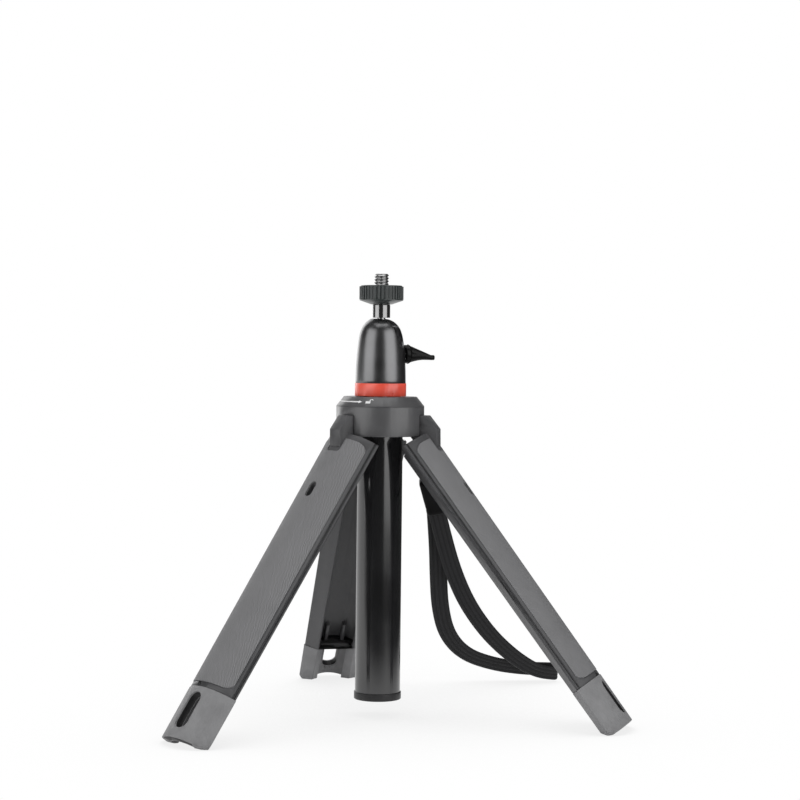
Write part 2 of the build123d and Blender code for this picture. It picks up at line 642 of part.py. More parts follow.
def leg_shell():
    """Trough with an outer wall, two radial side walls and a closed top end."""
    end_z = down_leg(LEG_TOP + LEG_END_WALL)
    shell = leg_blank(0, LEG_HALF_ANGLE, LEG_TOP, FOOT_TOP)
    middle_r = (LEG_INNER_R + skin_r(FOOT_TOP) - LEG_WALL) / 2
    trough_angle = LEG_HALF_ANGLE - degrees(LEG_SIDE_WALL / middle_r)
    shell -= leg_hollow(LEG_WALL, trough_angle, LEG_TOP + LEG_END_WALL, FOOT_TOP + CUT_PAST)
    shell -= disc(LEG_INNER_R + LEG_END_RELIEF, down_leg(LEG_TOP - CUT_PAST), end_z)
    shell -= edge_grooves()
    shell -= skin_sector(NICK_DEPTH, CUT_PAST, NICK_HALF_ANGLE, PAD_END - CUT_PAST, FOOT_TOP + CUT_PAST)
    rib_x = skin_r(FOOT_TOP - RIB_LENGTH) - LEG_WALL * 3 / 4
    rib_z = down_leg(FOOT_TOP - RIB_LENGTH / 2)
    rib = Box(2 * RIB_HEIGHT, RIB_WIDTH, RIB_LENGTH)
    for side in (-1, 1):
        shell += Pos(rib_x - RIB_HEIGHT, side * RIB_OFFSET, rib_z) * rib
    for tab in spigots(0):
        shell += tab
    shell += knuckle()
    shell -= leg_slot(HOLE_LENGTH, HOLE_WIDTH, HOLE_AT)
    return shell - pad_blank()


def leg_pad():
    return pad_blank() - leg_slot(HOLE_LENGTH, HOLE_WIDTH, HOLE_AT)


def leg_foot():
    """Rubber foot with an arched hollow inside and a round-ended slot through it."""
    foot = leg_blank(FOOT_PROUD, FOOT_HALF_ANGLE, FOOT_TOP, LEG_END)
    foot &= face_outline(FOOT_PROUD, FOOT_HALF_ANGLE, FOOT_TOP, LEG_END, FOOT_CORNER, 2)
    foot -= leg_hollow(FOOT_WALL, FOOT_HOLLOW_ANGLE, FOOT_TOP - CUT_PAST, LEG_END + CUT_PAST)
    foot -= leg_slot(FOOT_SLOT_LENGTH, FOOT_SLOT_WIDTH, FOOT_TOP + FOOT_SLOT_START + FOOT_SLOT_LENGTH / 2)
    return foot - spigots(SLIP)


def stand(shape, leg):
    """Open a folded leg's piece and turn it to its place round the hub."""
    hinge = Axis((PIVOT_R, 0, PIVOT_Z), (0, 1, 0))
    return shape.rotate(hinge, -OPEN_ANGLE).rotate(Axis.Z, LEG_AZIMUTHS[leg])


def floor_block():
    return Pos(0, 0, FLOOR_Z - MUCH / 2) * Box(6 * MUCH, 6 * MUCH, MUCH)


def strap_plane():
    """Leaning plane of the strap's loop. Its own Z points to the front."""
    heading = radians(STRAP_HEADING)
    slope = radians(STRAP_SLOPE)
    along = Vector(cos(heading), sin(heading), 0)
    back = Vector(-sin(heading), cos(heading), 0)
    up_slope = Vector(0, 0, sin(slope)) - back * cos(slope)
    return Plane(origin=(*STRAP_FLOOR_POINT, FLOOR_Z), x_dir=along, z_dir=along.cross(up_slope))


def corner_radii(points):
    """Largest tangent arc for each corner: 0.45 of the shorter run over the half turn's tangent."""
    radii = []
    for before, corner, after in zip(points, points[1:], points[2:]):
        shorter = min((corner - before).length, (after - corner).length)
        turn = (corner - before).get_angle(after - corner)
        radii.append(0.45 * shorter / tan(radians(turn / 2)))
    return radii


def swept(name, points, section_face):
    """Sweep a section along runs joined by arcs, and print how the sweep compares with its line."""
    points = [Vector(*point) for point in points]
    radii = corner_radii(points)
    path = FilletPolyline(*points, radius=radii)
    solid = sweep((path ^ 0) * section_face, path=path)
    line_volume = section_face.area * path.length
    print(name, "length", round(path.length, 1), "radii", [round(radius, 1) for radius in radii],
          "volume over section times length", round(solid.volume / line_volume, 4))
    return solid


def on_strap(point, depth):
    return strap_plane().from_local_coords(Vector(point[0], point[1], depth))


def webbing_band(name, run, depth):
    """Flat band that keeps its width in the strap's plane."""
    plane = strap_plane()
    points = [Vector(along, up, depth) for along, up in run]
    radii = corner_radii(points)
    path = FilletPolyline(*points, radius=radii)
    start = Plane(origin=path @ 0, x_dir=(0, 0, 1), z_dir=path % 0)
    band = sweep(start * Rectangle(WEBBING_THICKNESS, WEBBING_WIDTH), path=path)
    line_volume = WEBBING_THICKNESS * WEBBING_WIDTH * path.length
    print(name, "length", round(path.length, 1), "radii", [round(radius, 1) for radius in radii],
          "volume over section times length", round(band.volume / line_volume, 4))
    return plane * band


def strap_webbing():
    """Both runs of the loop and the tight fold at its tip."""
    front = webbing_band("strap front run", FRONT_RUN, 0)
    back = webbing_band("strap back run", BACK_RUN, -2 * FOLD_R)
    half = WEBBING_THICKNESS / 2
    tip = FRONT_RUN[-1]
    ring = Cylinder(FOLD_R + half, WEBBING_WIDTH) - Cylinder(FOLD_R - half, WEBBING_WIDTH)
    ring &= Pos(FOLD_R + half, 0, 0) * Box(2 * (FOLD_R + half), 4 * (FOLD_R + half), WEBBING_WIDTH)
    lap = Box(FOLD_OVERLAP, WEBBING_THICKNESS, WEBBING_WIDTH)
    for side in (-1, 1):
        ring += Pos(-FOLD_OVERLAP / 2, side * FOLD_R, 0) * lap
    fold = Pos(tip[0], tip[1], -FOLD_R) * Rot(90, 0, 0) * ring
    return front + back + strap_plane() * fold


def strap_sleeve():
    top = Vector(*SLEEVE_TOP)
    bottom = Vector(*SLEEVE_BOTTOM)
    length = (top - bottom).length
    outline = RectangleRounded(SLEEVE_WIDTH, SLEEVE_THICKNESS, SLEEVE_CORNER)
    base = Plane(origin=(bottom.X, bottom.Y, -FOLD_R), x_dir=(top - bottom).cross(Vector(0, 0, 1)),
                 z_dir=top - bottom)
    return strap_plane() * extrude(base * outline, length)


def on_leg(outward, sideways, distance):
    """Point of the standing strap leg, from its place on the folded leg."""
    lean = radians(OPEN_ANGLE)
    radial = PIVOT_R + (outward - PIVOT_R) * cos(lean) + distance * sin(lean)
    height = PIVOT_Z + (outward - PIVOT_R) * sin(lean) - distance * cos(lean)
    azimuth = radians(LEG_AZIMUTHS[STRAP_LEG])
    return Vector(radial * cos(azimuth) - sideways * sin(azimuth),
                  radial * sin(azimuth) + sideways * cos(azimuth), height)


def strap_knot():
    """Knot behind the leg's outer wall. A stub of it fills the small hole, below the grip pad."""
    knot = radial_bar(KNOT_R, knot_start_r(), knot_start_r() + KNOT_THICKNESS, down_leg(HOLE_AT), 0)
    stub = leg_slot(HOLE_LENGTH - 2 * SLIP, HOLE_WIDTH - 2 * SLIP, HOLE_AT)
    stub -= disc(knot_start_r() + KNOT_THICKNESS / 2, PIVOT_Z, down_leg(LEG_END))
    stub &= disc(skin_r(HOLE_AT) - PLUG_INSET, PIVOT_Z, down_leg(LEG_END))
    return stand(knot + stub, STRAP_LEG)


def knot_start_r():
    return skin_r(HOLE_AT) - LEG_WALL - KNOT_GAP - KNOT_THICKNESS


def strap_cord():
    """Thin cord from the knot, round the rear wall of the leg and down into the sleeve."""
    start = on_leg(knot_start_r(), 0, HOLE_AT)
    end = on_strap(SLEEVE_TOP, -FOLD_R)
    sleeve_axis = (end - on_strap(SLEEVE_BOTTOM, -FOLD_R)).normalized()
    above = end + sleeve_axis * CORD_LEAD_IN
    inside = end - sleeve_axis * CORD_DEPTH_IN_SLEEVE
    route = [start, *[on_leg(*point) for point in CORD_ON_LEG], above, inside]
    print("strap cord route", [tuple(round(value, 2) for value in point) for point in route])
    return swept("strap cord", route, Circle(CORD_R))


def build_parts():
    webbing = strap_webbing()
    cord = strap_cord()
    parts = {
        "camera_stud": camera_stud(),
        "thumb_wheel": thumb_wheel(),
        "wheel_pad": wheel_pad(),
        "neck": neck(),
        "swivel_ball": swivel_ball(),
        "ball_housing": ball_housing(),
        "ball_seat": ball_seat(),
        "clamp_screw": clamp_screw(),
        "clamp_lever": clamp_lever(),
        "colour_ring": colour_ring(),
        "head_plug": head_plug(),
        "head_pin": plug_pin_bar(),
        "outer_tube": outer_tube(),
        "tube_end_cap": tube_end_cap(),
        "lock_ring": lock_ring(),
        "lock_collet": lock_collet(),
        "guide_bush": guide_bush(),
        "hub_body": hub_body(),
        "hub_plate": hub_plate(),
        "hub_screws": Compound(children=between_legs(hub_screw())),
        "leg_pins": Compound(children=at_legs(tangential_pin(PIN_R, PIN_LENGTH))),
        "strap_knot": strap_knot(),
        "strap_cord": cord,
        "strap_sleeve": strap_sleeve() - webbing - cord,
        "strap_webbing": webbing,
    }
    for index in range(1, SECTION_COUNT + 1):
        parts[f"column_section_{index}"] = section(index)
        parts[f"friction_bush_{index}"] = friction_bush(index)
    for leg in LEG_AZIMUTHS:
        parts[f"{leg}_leg_shell"] = stand(leg_shell(), leg)
        parts[f"{leg}_leg_pad"] = stand(leg_pad(), leg)
        parts[f"{leg}_leg_foot"] = stand(leg_foot(), leg) - floor_block()
    return parts


def main():
    os.makedirs("parts", exist_ok=True)
    for name, shape in build_parts().items():
        export_step(shape, f"parts/{name}.step")


main()
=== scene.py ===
"""Looks of a pocket tripod that folds into a selfie stick."""
from math import atan2, copysign, cos, pi, radians, sin, sqrt

import bmesh
import bpy
from mathutils import Matrix, Vector
from mathutils.bvhtree import BVHTree


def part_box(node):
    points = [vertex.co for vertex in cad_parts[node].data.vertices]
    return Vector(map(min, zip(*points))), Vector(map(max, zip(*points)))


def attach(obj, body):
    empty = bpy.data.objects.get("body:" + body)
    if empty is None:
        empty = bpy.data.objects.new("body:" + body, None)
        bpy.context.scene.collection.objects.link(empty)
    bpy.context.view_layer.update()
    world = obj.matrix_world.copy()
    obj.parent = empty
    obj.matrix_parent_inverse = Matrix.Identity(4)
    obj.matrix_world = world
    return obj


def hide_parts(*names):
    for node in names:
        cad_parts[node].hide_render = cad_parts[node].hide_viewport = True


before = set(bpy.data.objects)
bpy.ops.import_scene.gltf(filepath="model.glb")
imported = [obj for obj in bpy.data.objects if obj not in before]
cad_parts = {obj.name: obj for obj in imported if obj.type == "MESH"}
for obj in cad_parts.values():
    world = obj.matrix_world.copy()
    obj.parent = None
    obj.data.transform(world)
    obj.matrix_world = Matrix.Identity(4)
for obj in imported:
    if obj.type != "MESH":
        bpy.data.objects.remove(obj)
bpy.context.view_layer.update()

bl_info = {
    "name": "Selfie Stick Tripod",
    "version": (1, 0, 0),
    "blender": (4, 5, 0),
    "location": "3D View > Sidebar > Tripod",
    "description": "Builds the finishes, the wrist strap and the studio of a folding pocket tripod",
    "category": "Object",
}

MM = 0.001

# Directions of the legs and how far they stand open, in degrees
LEGS = {"right": -30.0, "rear": 90.0, "left": 210.0}
OPEN_ANGLE = 37.5

# The inner sections of the column, from the widest in
SECTIONS = (1, 2, 3, 4)

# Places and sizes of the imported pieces, in millimetres
PIVOT_R = 16.2
PIVOT_Z = -60.0
FLOOR_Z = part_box("left_leg_foot")[0][2] / MM
LOCK_TOP_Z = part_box("lock_ring")[1][2] / MM
LOCK_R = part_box("lock_ring")[1][0] / MM
LOCK_CHAMFER = 3.2
LOCK_DROP = 4.0


def mm(*values):
    return Vector(values) * MM


# Materials


class Nodes:
    """A shader tree, built a node at a time. Values are numbers, vectors or other nodes' outputs."""

    def __init__(self, tree):
        self.tree = tree
        self.tree.nodes.clear()

    def plug(self, socket, value):
        """Gives the socket a link to another node's output, or a value of its own."""
        if isinstance(value, bpy.types.NodeSocket):
            self.tree.links.new(value, socket)
        else:
            socket.default_value = value

    def add(self, kind, inputs=None, **settings):
        node = self.tree.nodes.new(kind)
        for name, value in settings.items():
            setattr(node, name, value)
        for name, value in (inputs or {}).items():
            self.plug(node.inputs[name], value)
        return node

    def maths(self, kind, first, second=0.0):
        return self.add("ShaderNodeMath", {0: first, 1: second}, operation=kind).outputs[0]

    def shares(self, first, share, second, other):
        """first times share, plus second times other."""
        return self.maths("ADD", self.maths("MULTIPLY", first, share), self.maths("MULTIPLY", second, other))

    def between(self, value, low, high, start=0.35, end=0.65):
        """value, from start to end, moved to low to high."""
        return self.add("ShaderNodeMapRange", {
            "Value": value, "From Min": start, "From Max": end, "To Min": low, "To Max": high}).outputs[0]

    def towards(self, way, direction):
        """How far a vector goes in a direction."""
        node = self.add("ShaderNodeVectorMath", {0: way, 1: direction}, operation="DOT_PRODUCT")
        return node.outputs["Value"]


class Finish(Nodes):
    """A node material with one Principled surface."""

    def __init__(self, name, **surface):
        self.material = bpy.data.materials.new(name)
        self.material.use_nodes = True
        super().__init__(self.material.node_tree)
        self.surface = self.add("ShaderNodeBsdfPrincipled")
        self.output = self.add("ShaderNodeOutputMaterial", {"Surface": self.surface.outputs[0]})
        for socket, value in surface.items():
            self.surface.inputs[socket.replace("_", " ")].default_value = value

    def place(self, space="Object", turn=None, scale=(1, 1, 1), shift=(0, 0, 0)):
        """Coordinates of the surface, turned and stretched."""
        source = self.add("ShaderNodeTexCoord").outputs[space]
        mapping = self.add("ShaderNodeMapping", {"Vector": source})
        mapping.inputs["Rotation"].default_value = turn or (0, 0, 0)
        mapping.inputs["Scale"].default_value = scale
        mapping.inputs["Location"].default_value = shift
        return mapping.outputs[0]

    def noise(self, where, size, detail=2.0, roughness=0.5, distortion=0.0):
        """Noise whose cells are about size millimetres."""
        return self.add("ShaderNodeTexNoise", {
            "Vector": where, "Scale": 1 / (size * MM), "Detail": detail, "Roughness": roughness,
            "Distortion": distortion}).outputs["Fac"]

    def blend(self, value, dark, light):
        """From dark to light as value goes from 0 to 1, where each is a colour or a node's output."""
        node = self.add("ShaderNodeMix", {0: value}, data_type="RGBA")
        for place, colour in ((6, dark), (7, light)):
            self.plug(node.inputs[place], (*colour, 1) if isinstance(colour, tuple) else colour)
        return node.outputs[2]

    def wire(self, name, value):
        self.tree.links.new(value, self.surface.inputs[name])

    def mixed(self, share, first, second):
        """Shader that goes from the first to the second as share goes from 0 to 1."""
        return self.add("ShaderNodeMixShader", {0: share, 1: first, 2: second}).outputs[0]

    def bumps(self, *layers):
        """Bumps in layers of height value and depth in millimetres."""
        normal = None
        for height, depth in layers:
            inputs = {"Height": height, "Distance": depth * MM, "Strength": 1.0}
            if normal:
                inputs["Normal"] = normal
            normal = self.add("ShaderNodeBump", inputs).outputs[0]
        self.wire("Normal", normal)
        return self.material


def tint(colour, share):
    return tuple(min(1.0, channel * share) for channel in colour)


def moulded_plastic(name, colour, roughness=0.45, grain=0.35, depth=0.012, specular=0.4):
    """Spark-eroded plastic: fine even grain, faint clouds in colour and gloss."""
    finish = Finish(name, Specular_IOR_Level=specular)
    where = finish.place()
    clouds = finish.noise(where, 9.0, 3.0)
    fine = finish.noise(where, grain, 2.0, 0.6)
    shade = finish.between(finish.shares(clouds, 0.7, fine, 0.3), 0.0, 1.0)
    finish.wire("Base Color", finish.blend(shade, tint(colour, 0.88), tint(colour, 1.12)))
    finish.wire("Roughness", finish.between(clouds, roughness - 0.04, roughness + 0.05))
    return finish.bumps((fine, depth))


def gloss_lacquer(name, colour, roughness=0.1, specular=0.5, coat=0.0, peel_depth=0.004):
    """Smooth lacquer with a very slight orange peel."""
    finish = Finish(name, Specular_IOR_Level=specular, Coat_Weight=coat, Coat_Roughness=0.05)
    where = finish.place()
    peel = finish.noise(where, 2.4, 1.0)
    haze = finish.noise(where, 14.0, 3.0)
    shade = finish.between(haze, 0, 1)
    finish.wire("Base Color", finish.blend(shade, tint(colour, 0.8), tint(colour, 1.2)))
    finish.wire("Roughness", finish.between(haze, roughness * 0.85, roughness * 1.25))
    return finish.bumps((peel, peel_depth))


def anodised_metal(name, colour, roughness):
    """Dark anodised metal with soft reflections."""
    finish = Finish(name, Metallic=1.0)
    where = finish.place()
    clouds = finish.noise(where, 9.0, 3.0)
    fine = finish.noise(where, 0.3, 2.0, 0.6)
    shade = finish.between(clouds, 0, 1)
    finish.wire("Base Color", finish.blend(shade, tint(colour, 0.92), tint(colour, 1.08)))
    finish.wire("Roughness", finish.between(clouds, roughness - 0.02, roughness + 0.03))
    return finish.bumps((fine, 0.003))


def turned_metal(name, colour, roughness=0.28, pitch=0.25):
    """Lathe-turned or drawn metal with fine rings round the column's axis."""
    finish = Finish(name, Metallic=1.0)
    where = finish.place(scale=(60, 60, 1 / (pitch * MM)))
    rings = finish.add("ShaderNodeTexNoise", {"Vector": where, "Scale": 1.0, "Detail": 2.0}).outputs[0]
    clouds = finish.noise(finish.place(), 6.0, 2.0)
    shade = finish.between(clouds, 0, 1)
    finish.wire("Base Color", finish.blend(shade, tint(colour, 0.9), tint(colour, 1.06)))
    finish.wire("Roughness", finish.between(rings, roughness - 0.02, roughness + 0.03))
    return finish.bumps((rings, 0.001))


def leg_turn(leg):
    """Rotation that brings a standing leg back to the folded leg on +X."""
    turn = Matrix.Rotation(radians(OPEN_ANGLE), 3, "Y") @ Matrix.Rotation(-radians(LEGS[leg]), 3, "Z")
    return turn.to_euler("XYZ")


def leg_shift(leg):
    """Move that goes with leg_turn, so that Z is the folded leg's own height, in metres."""
    p = radians(LEGS[leg])
    hinge = mm(PIVOT_R * cos(p), PIVOT_R * sin(p), PIVOT_Z)
    turn = leg_turn(leg).to_matrix()
    return mm(PIVOT_R, 0, PIVOT_Z) - turn @ hinge


# Ridges of the grip pads: millimetres from one to the next, and slant in degrees
GRAIN_PITCH = 0.55
GRAIN_SLANT = -32


def grip_grain(name, colour, leg):
    """Rubber pad with fine wavy ridges that cross it at a slant."""
    finish = Finish(name, Specular_IOR_Level=0.3)
    along = finish.place(turn=leg_turn(leg), shift=leg_shift(leg))
    slanted = finish.add("ShaderNodeMapping", {"Vector": along})
    slanted.inputs["Rotation"].default_value = (radians(GRAIN_SLANT), 0, 0)
    waves = finish.add("ShaderNodeTexWave", {
        "Vector": slanted.outputs[0], "Scale": 0.314 / (GRAIN_PITCH * MM), "Distortion": 7.0, "Detail": 2.0,
        "Detail Scale": 0.5, "Detail Roughness": 0.55}, bands_direction="Y").outputs["Fac"]
    fine = finish.noise(along, 0.3, 2.0)
    clouds = finish.noise(along, 12.0, 2.0)
    shade = finish.shares(waves, 0.75, clouds, 0.25)
    finish.wire("Base Color", finish.blend(shade, tint(colour, 0.62), tint(colour, 1.36)))
    finish.wire("Roughness", finish.between(waves, 0.75, 0.62, 0.0, 1.0))
    return finish.bumps((waves, 0.06), (fine, 0.01))


# Radii of the near-black painted shade in a foot's slot and the hollow behind it, its half width for each
# millimetre outwards, and how far up from the floor scuffs reach, in millimetres
FOOT_SLOT_SHADE_RADII = (13.9, 16.85)
FOOT_SLOT_SHADE_SPREAD = 0.645
SCUFF_HEIGHT = 7


def foot_rubber(name, colour, leg):
    """Smooth rubber, a little scuffed towards the sole, with near-black painted shade in the slot and the
    hollow behind it.
    """
    finish = Finish(name, Specular_IOR_Level=0.35)
    along = finish.place(turn=leg_turn(leg), shift=leg_shift(leg))
    clouds = finish.noise(along, 7.0, 3.0)
    fine = finish.noise(along, 0.4, 2.0)
    scuffs = finish.noise(finish.place(scale=(1, 1, 0.25)), 1.6, 4.0, 0.7)
    height = finish.add("ShaderNodeSeparateXYZ", {"Vector": finish.place()}).outputs["Z"]
    low = finish.between(height, 1.0, 0.0, FLOOR_Z * MM, (FLOOR_Z + SCUFF_HEIGHT) * MM)
    wear = finish.maths("MULTIPLY", low, finish.between(scuffs, 0.0, 1.0, 0.45, 0.7))
    plain = finish.blend(finish.between(clouds, 0, 1), tint(colour, 0.92), tint(colour, 1.08))
    worn = finish.blend(wear, plain, tint(colour, 0.7))
    leg_place = finish.add("ShaderNodeSeparateXYZ", {"Vector": along})
    outward, sideways = leg_place.outputs["X"], finish.maths("ABSOLUTE", leg_place.outputs["Y"])
    reach = finish.maths("SQRT", finish.shares(outward, outward, sideways, sideways))
    # Painted shade: the shaded recess of the slot and the hollow behind it is coloured near black.
    under_skin = finish.maths("MULTIPLY", finish.maths("LESS_THAN", reach, FOOT_SLOT_SHADE_RADII[1] * MM),
                              finish.maths("GREATER_THAN", reach, FOOT_SLOT_SHADE_RADII[0] * MM))
    middle = finish.maths("LESS_THAN", sideways, finish.maths("MULTIPLY", outward, FOOT_SLOT_SHADE_SPREAD))
    slot_shade = finish.maths("MULTIPLY", under_skin, middle)
    finish.wire("Base Color", finish.blend(slot_shade, worn, (0.012, 0.012, 0.013)))
    finish.wire("Roughness", finish.between(clouds, 0.5, 0.62))
    return finish.bumps((fine, 0.01), (scuffs, 0.01))


# Weave of the webbing: millimetres from one thread to the next along it, and threads across it
WEAVE_PITCH = 0.55
WEAVE_ENDS = 16


def ribbed_webbing(name, colour, ribs):
    """Woven band, with painted shade in the grooves of its weave and ribs and painted highlight on their
    crests.

    Its map runs along it in U, in metres, and across it in V, from 0 to 1.
    """
    finish = Finish(name, Specular_IOR_Level=0.25, Sheen_Weight=0.25, Sheen_Roughness=0.35)
    where = finish.place("UV")
    parts = finish.add("ShaderNodeSeparateXYZ", {"Vector": where})
    picks = finish.maths("SINE", finish.maths("MULTIPLY", parts.outputs["X"], 2 * pi / (WEAVE_PITCH * MM)))
    ends = finish.maths("SINE", finish.maths("MULTIPLY", parts.outputs["Y"], 2 * pi * WEAVE_ENDS))
    weave = finish.between(finish.maths("MULTIPLY", picks, ends), 0.0, 1.0, -1.0, 1.0)
    crests = finish.maths("COSINE", finish.maths("MULTIPLY", parts.outputs["Y"], 2 * pi * ribs))
    ridges = finish.between(crests, 1.0, 0.0, -0.2, 0.9)
    height = finish.shares(weave, 0.3, ridges, 0.7)
    fuzz = finish.noise(finish.place(), 0.35, 3.0, 0.7)
    shade = finish.shares(height, 0.6, fuzz, 0.5)
    # Painted shade and highlight: the colour follows the height of weave and ribs, dark in grooves, light on
    # crests.
    finish.wire("Base Color", finish.blend(shade, tint(colour, 0.08), tint(colour, 1.9)))
    finish.wire("Roughness", finish.between(fuzz, 0.6, 0.8))
    return finish.bumps((height, 0.16), (fuzz, 0.05))


# Strands round the braid, and their turns in its length
BRAID_STRANDS = 4
BRAID_TURNS = 30


def braided_cord(name, colour):
    """Round braid, with painted shade in the grooves between its strands and painted highlight on their
    crests.

    U runs round the cord, V along it.
    """
    finish = Finish(name, Specular_IOR_Level=0.2, Roughness=0.8, Sheen_Weight=0.2)
    parts = finish.add("ShaderNodeSeparateXYZ", {"Vector": finish.place("UV")})
    around = finish.maths("MULTIPLY", parts.outputs["X"], 2 * pi * BRAID_STRANDS)
    along = finish.maths("MULTIPLY", parts.outputs["Y"], 2 * pi * BRAID_TURNS)
    left = finish.maths("SINE", finish.maths("ADD", along, around))
    right = finish.maths("SINE", finish.maths("SUBTRACT", along, around))
    height = finish.between(finish.maths("MAXIMUM", left, right), 0.0, 1.0, -1.0, 1.0)
    # Painted shade and highlight: darker in the grooves between strands, lighter on their crests.
    finish.wire("Base Color", finish.blend(height, tint(colour, 0.5), tint(colour, 1.6)))
    return finish.bumps((height, 0.08))


# Shared making steps


def paint(target, material):
    """One material all over a piece."""
    target.data.materials.clear()
    target.data.materials.append(material)


def repaint_node(node, material):
    """A CAD node keeps its mesh and gets another material in its slots."""
    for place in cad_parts[node].material_slots:
        place.material = material


def new_object(name, mesh, material=None):
    piece = bpy.data.objects.new(name, mesh)
    bpy.context.scene.collection.objects.link(piece)
    if material:
        paint(piece, material)
    return piece


def mesh_of(name, points, faces):
    mesh = bpy.data.meshes.new(name)
    mesh.from_pydata([tuple(point) for point in points], [], faces)
    mesh.validate()
    return mesh


def skin(rings, count):
    """Faces of a tube of rings with count points each, closed at both ends."""
    faces = []
    for place in range(rings - 1):
        for k in range(count):
            a, b = place * count + k, place * count + (k + 1) % count
            faces.append((a, b, b + count, a + count))
    last = (rings - 1) * count
    return faces + [tuple(reversed(range(count))), tuple(range(last, last + count))]


def outward(mesh):
    """Merge doubles and turn every face outwards."""
    shape = bmesh.new()
    shape.from_mesh(mesh)
    bmesh.ops.remove_doubles(shape, verts=shape.verts, dist=1e-6)
    bmesh.ops.recalc_face_normals(shape, faces=shape.faces)
    shape.to_mesh(mesh)
    shape.free()
    return mesh


def lathe(name, profile_at, steps=144):
    """Closed profile of radius and height, in millimetres, turned about the column's axis.

    profile_at gives the profile for a share of the turn, so that it can change on the way round.
    """
    vertices, faces = [], []
    count = len(profile_at(0.0))
    for k in range(steps):
        angle = 2 * pi * k / steps
        vertices += [mm(r * cos(angle), r * sin(angle), z) for r, z in profile_at(k / steps)]
        for j in range(count):
            a, b = k * count + j, k * count + (j + 1) % count
            c, d = [(place + count) % (steps * count) for place in (b, a)]
            faces.append((a, b, c, d))
    return outward(mesh_of(name, vertices, faces))


def baked(piece):
    """The piece with its modifiers applied, as a plain mesh."""
    graph = bpy.context.evaluated_depsgraph_get()
    mesh = bpy.data.meshes.new_from_object(piece.evaluated_get(graph))
    piece.modifiers.clear()
    old = piece.data
    piece.data = mesh
    mesh.name = piece.name
    bpy.data.meshes.remove(old)
    return piece


def smooth(piece, angle=35):
    """Smooth shading that keeps edges sharper than the angle."""
    piece.data.shade_smooth()
    piece.data.set_sharp_from_angle(angle=radians(angle))


def soften(node, name, width, material, angle=32, segments=2, clamp=False):
    """A copy of a CAD node with its sharp edges rounded, which stands for the node.

    A short edge can throw a corner of its bevel far out, so points that left the surface go back to it.
    """
    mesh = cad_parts[node].data.copy()
    mesh.name = name
    shape = bmesh.new()
    shape.from_mesh(mesh)
    bmesh.ops.remove_doubles(shape, verts=shape.verts, dist=2e-6)
    bmesh.ops.dissolve_limit(shape, angle_limit=radians(0.6), verts=shape.verts, edges=shape.edges)
    shape.to_mesh(mesh)
    shape.free()
    sharp = BVHTree.FromPolygons([vertex.co.copy() for vertex in mesh.vertices],
                                 [tuple(face.vertices) for face in mesh.polygons])
    piece = new_object(name, mesh, material)
    bevel = piece.modifiers.new("edges", "BEVEL")
    bevel.width = width * MM
    bevel.segments = segments
    bevel.limit_method = "ANGLE"
    bevel.angle_limit = radians(angle)
    bevel.harden_normals = True
    bevel.use_clamp_overlap = clamp
    baked(piece)
    for vertex in piece.data.vertices:
        nearest, _, _, distance = sharp.find_nearest(vertex.co)
        if distance > width * MM:
            vertex.co = nearest
    smooth(piece, 38)
    return piece


def settle(piece, body, slot, *nodes):
    """Fixes a piece to a CAD body and hides the nodes that it stands for. Its slot is not used."""
    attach(piece, body)
    if nodes:
        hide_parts(*nodes)


# Strap

# The leaning plane of the loop: a point on the floor, and heading and slope in degrees
STRAP_FLOOR_POINT = (22.0, 94.5)
STRAP_HEADING = -13.1
STRAP_SLOPE = 58.7

# Sizes, and places in that plane, in millimetres
FOLD_R = 1.6
WEBBING_WIDTH = 8.2
WEBBING_THICKNESS = 1.3
FRONT_RUN = [(25.2, 103.9), (30.2, 81.5), (35.2, 63.5), (41.8, 46.5), (51.2, 30.5), (61.0, 18.6),
             (70.6, 10.0), (77.6, 6.0), (84.0, 5.0)]
BACK_RUN = [(25.2, 103.9), (27.1, 80.5), (27.8, 61.0), (29.0, 42.0), (32.6, 25.6), (41.2, 13.8),
            (55.0, 7.8), (70.0, 5.2), (84.0, 5.0)]
TIP_REACH = 85.9
SLEEVE_TOP = (21.9, 117.2)
SLEEVE_BOTTOM = (26.4, 99.1)
SLEEVE_WIDTH = 9.6
SLEEVE_THICKNESS = 7.0
SLEEVE_CORNERS = 40
SLEEVE_SQUARENESS = (0.42, 0.5)

# Share of the sleeve's length and size there
SLEEVE_STATIONS = [(0.0, 0.86), (0.02, 0.97), (0.05, 1.0), (0.11, 1.0), (0.13, 0.965), (0.5, 0.965),
                   (0.9, 0.955), (0.93, 0.94), (0.97, 0.88), (1.0, 0.72)]

# From the hole in the right leg to the sleeve, in the tripod's own frame
CORD_ROUTE = [(30.97, -17.88, -89.11), (28.08, -16.21, -91.66), (24.34, -8.28, -92.78),
              (22.99, 2.32, -88.29), (24.33, 13.67, -79.78), (26.0, 26.76, -76.29), (30.89, 32.87, -87.9)]


def strap_axes():
    """Along the floor, up the slope and out to the front, for the plane that the loop leans in."""
    heading = radians(STRAP_HEADING)
    slope = radians(STRAP_SLOPE)
    along = Vector((cos(heading), sin(heading), 0))
    back = Vector((-sin(heading), cos(heading), 0))
    up_slope = Vector((0, 0, sin(slope))) - back * cos(slope)
    return along, up_slope, along.cross(up_slope)


def on_strap(along, up, depth):
    """Point of the leaning plane, in metres."""
    u, v, n = strap_axes()
    return (Vector((*STRAP_FLOOR_POINT, FLOOR_Z)) + u * along + v * up + n * depth) * MM


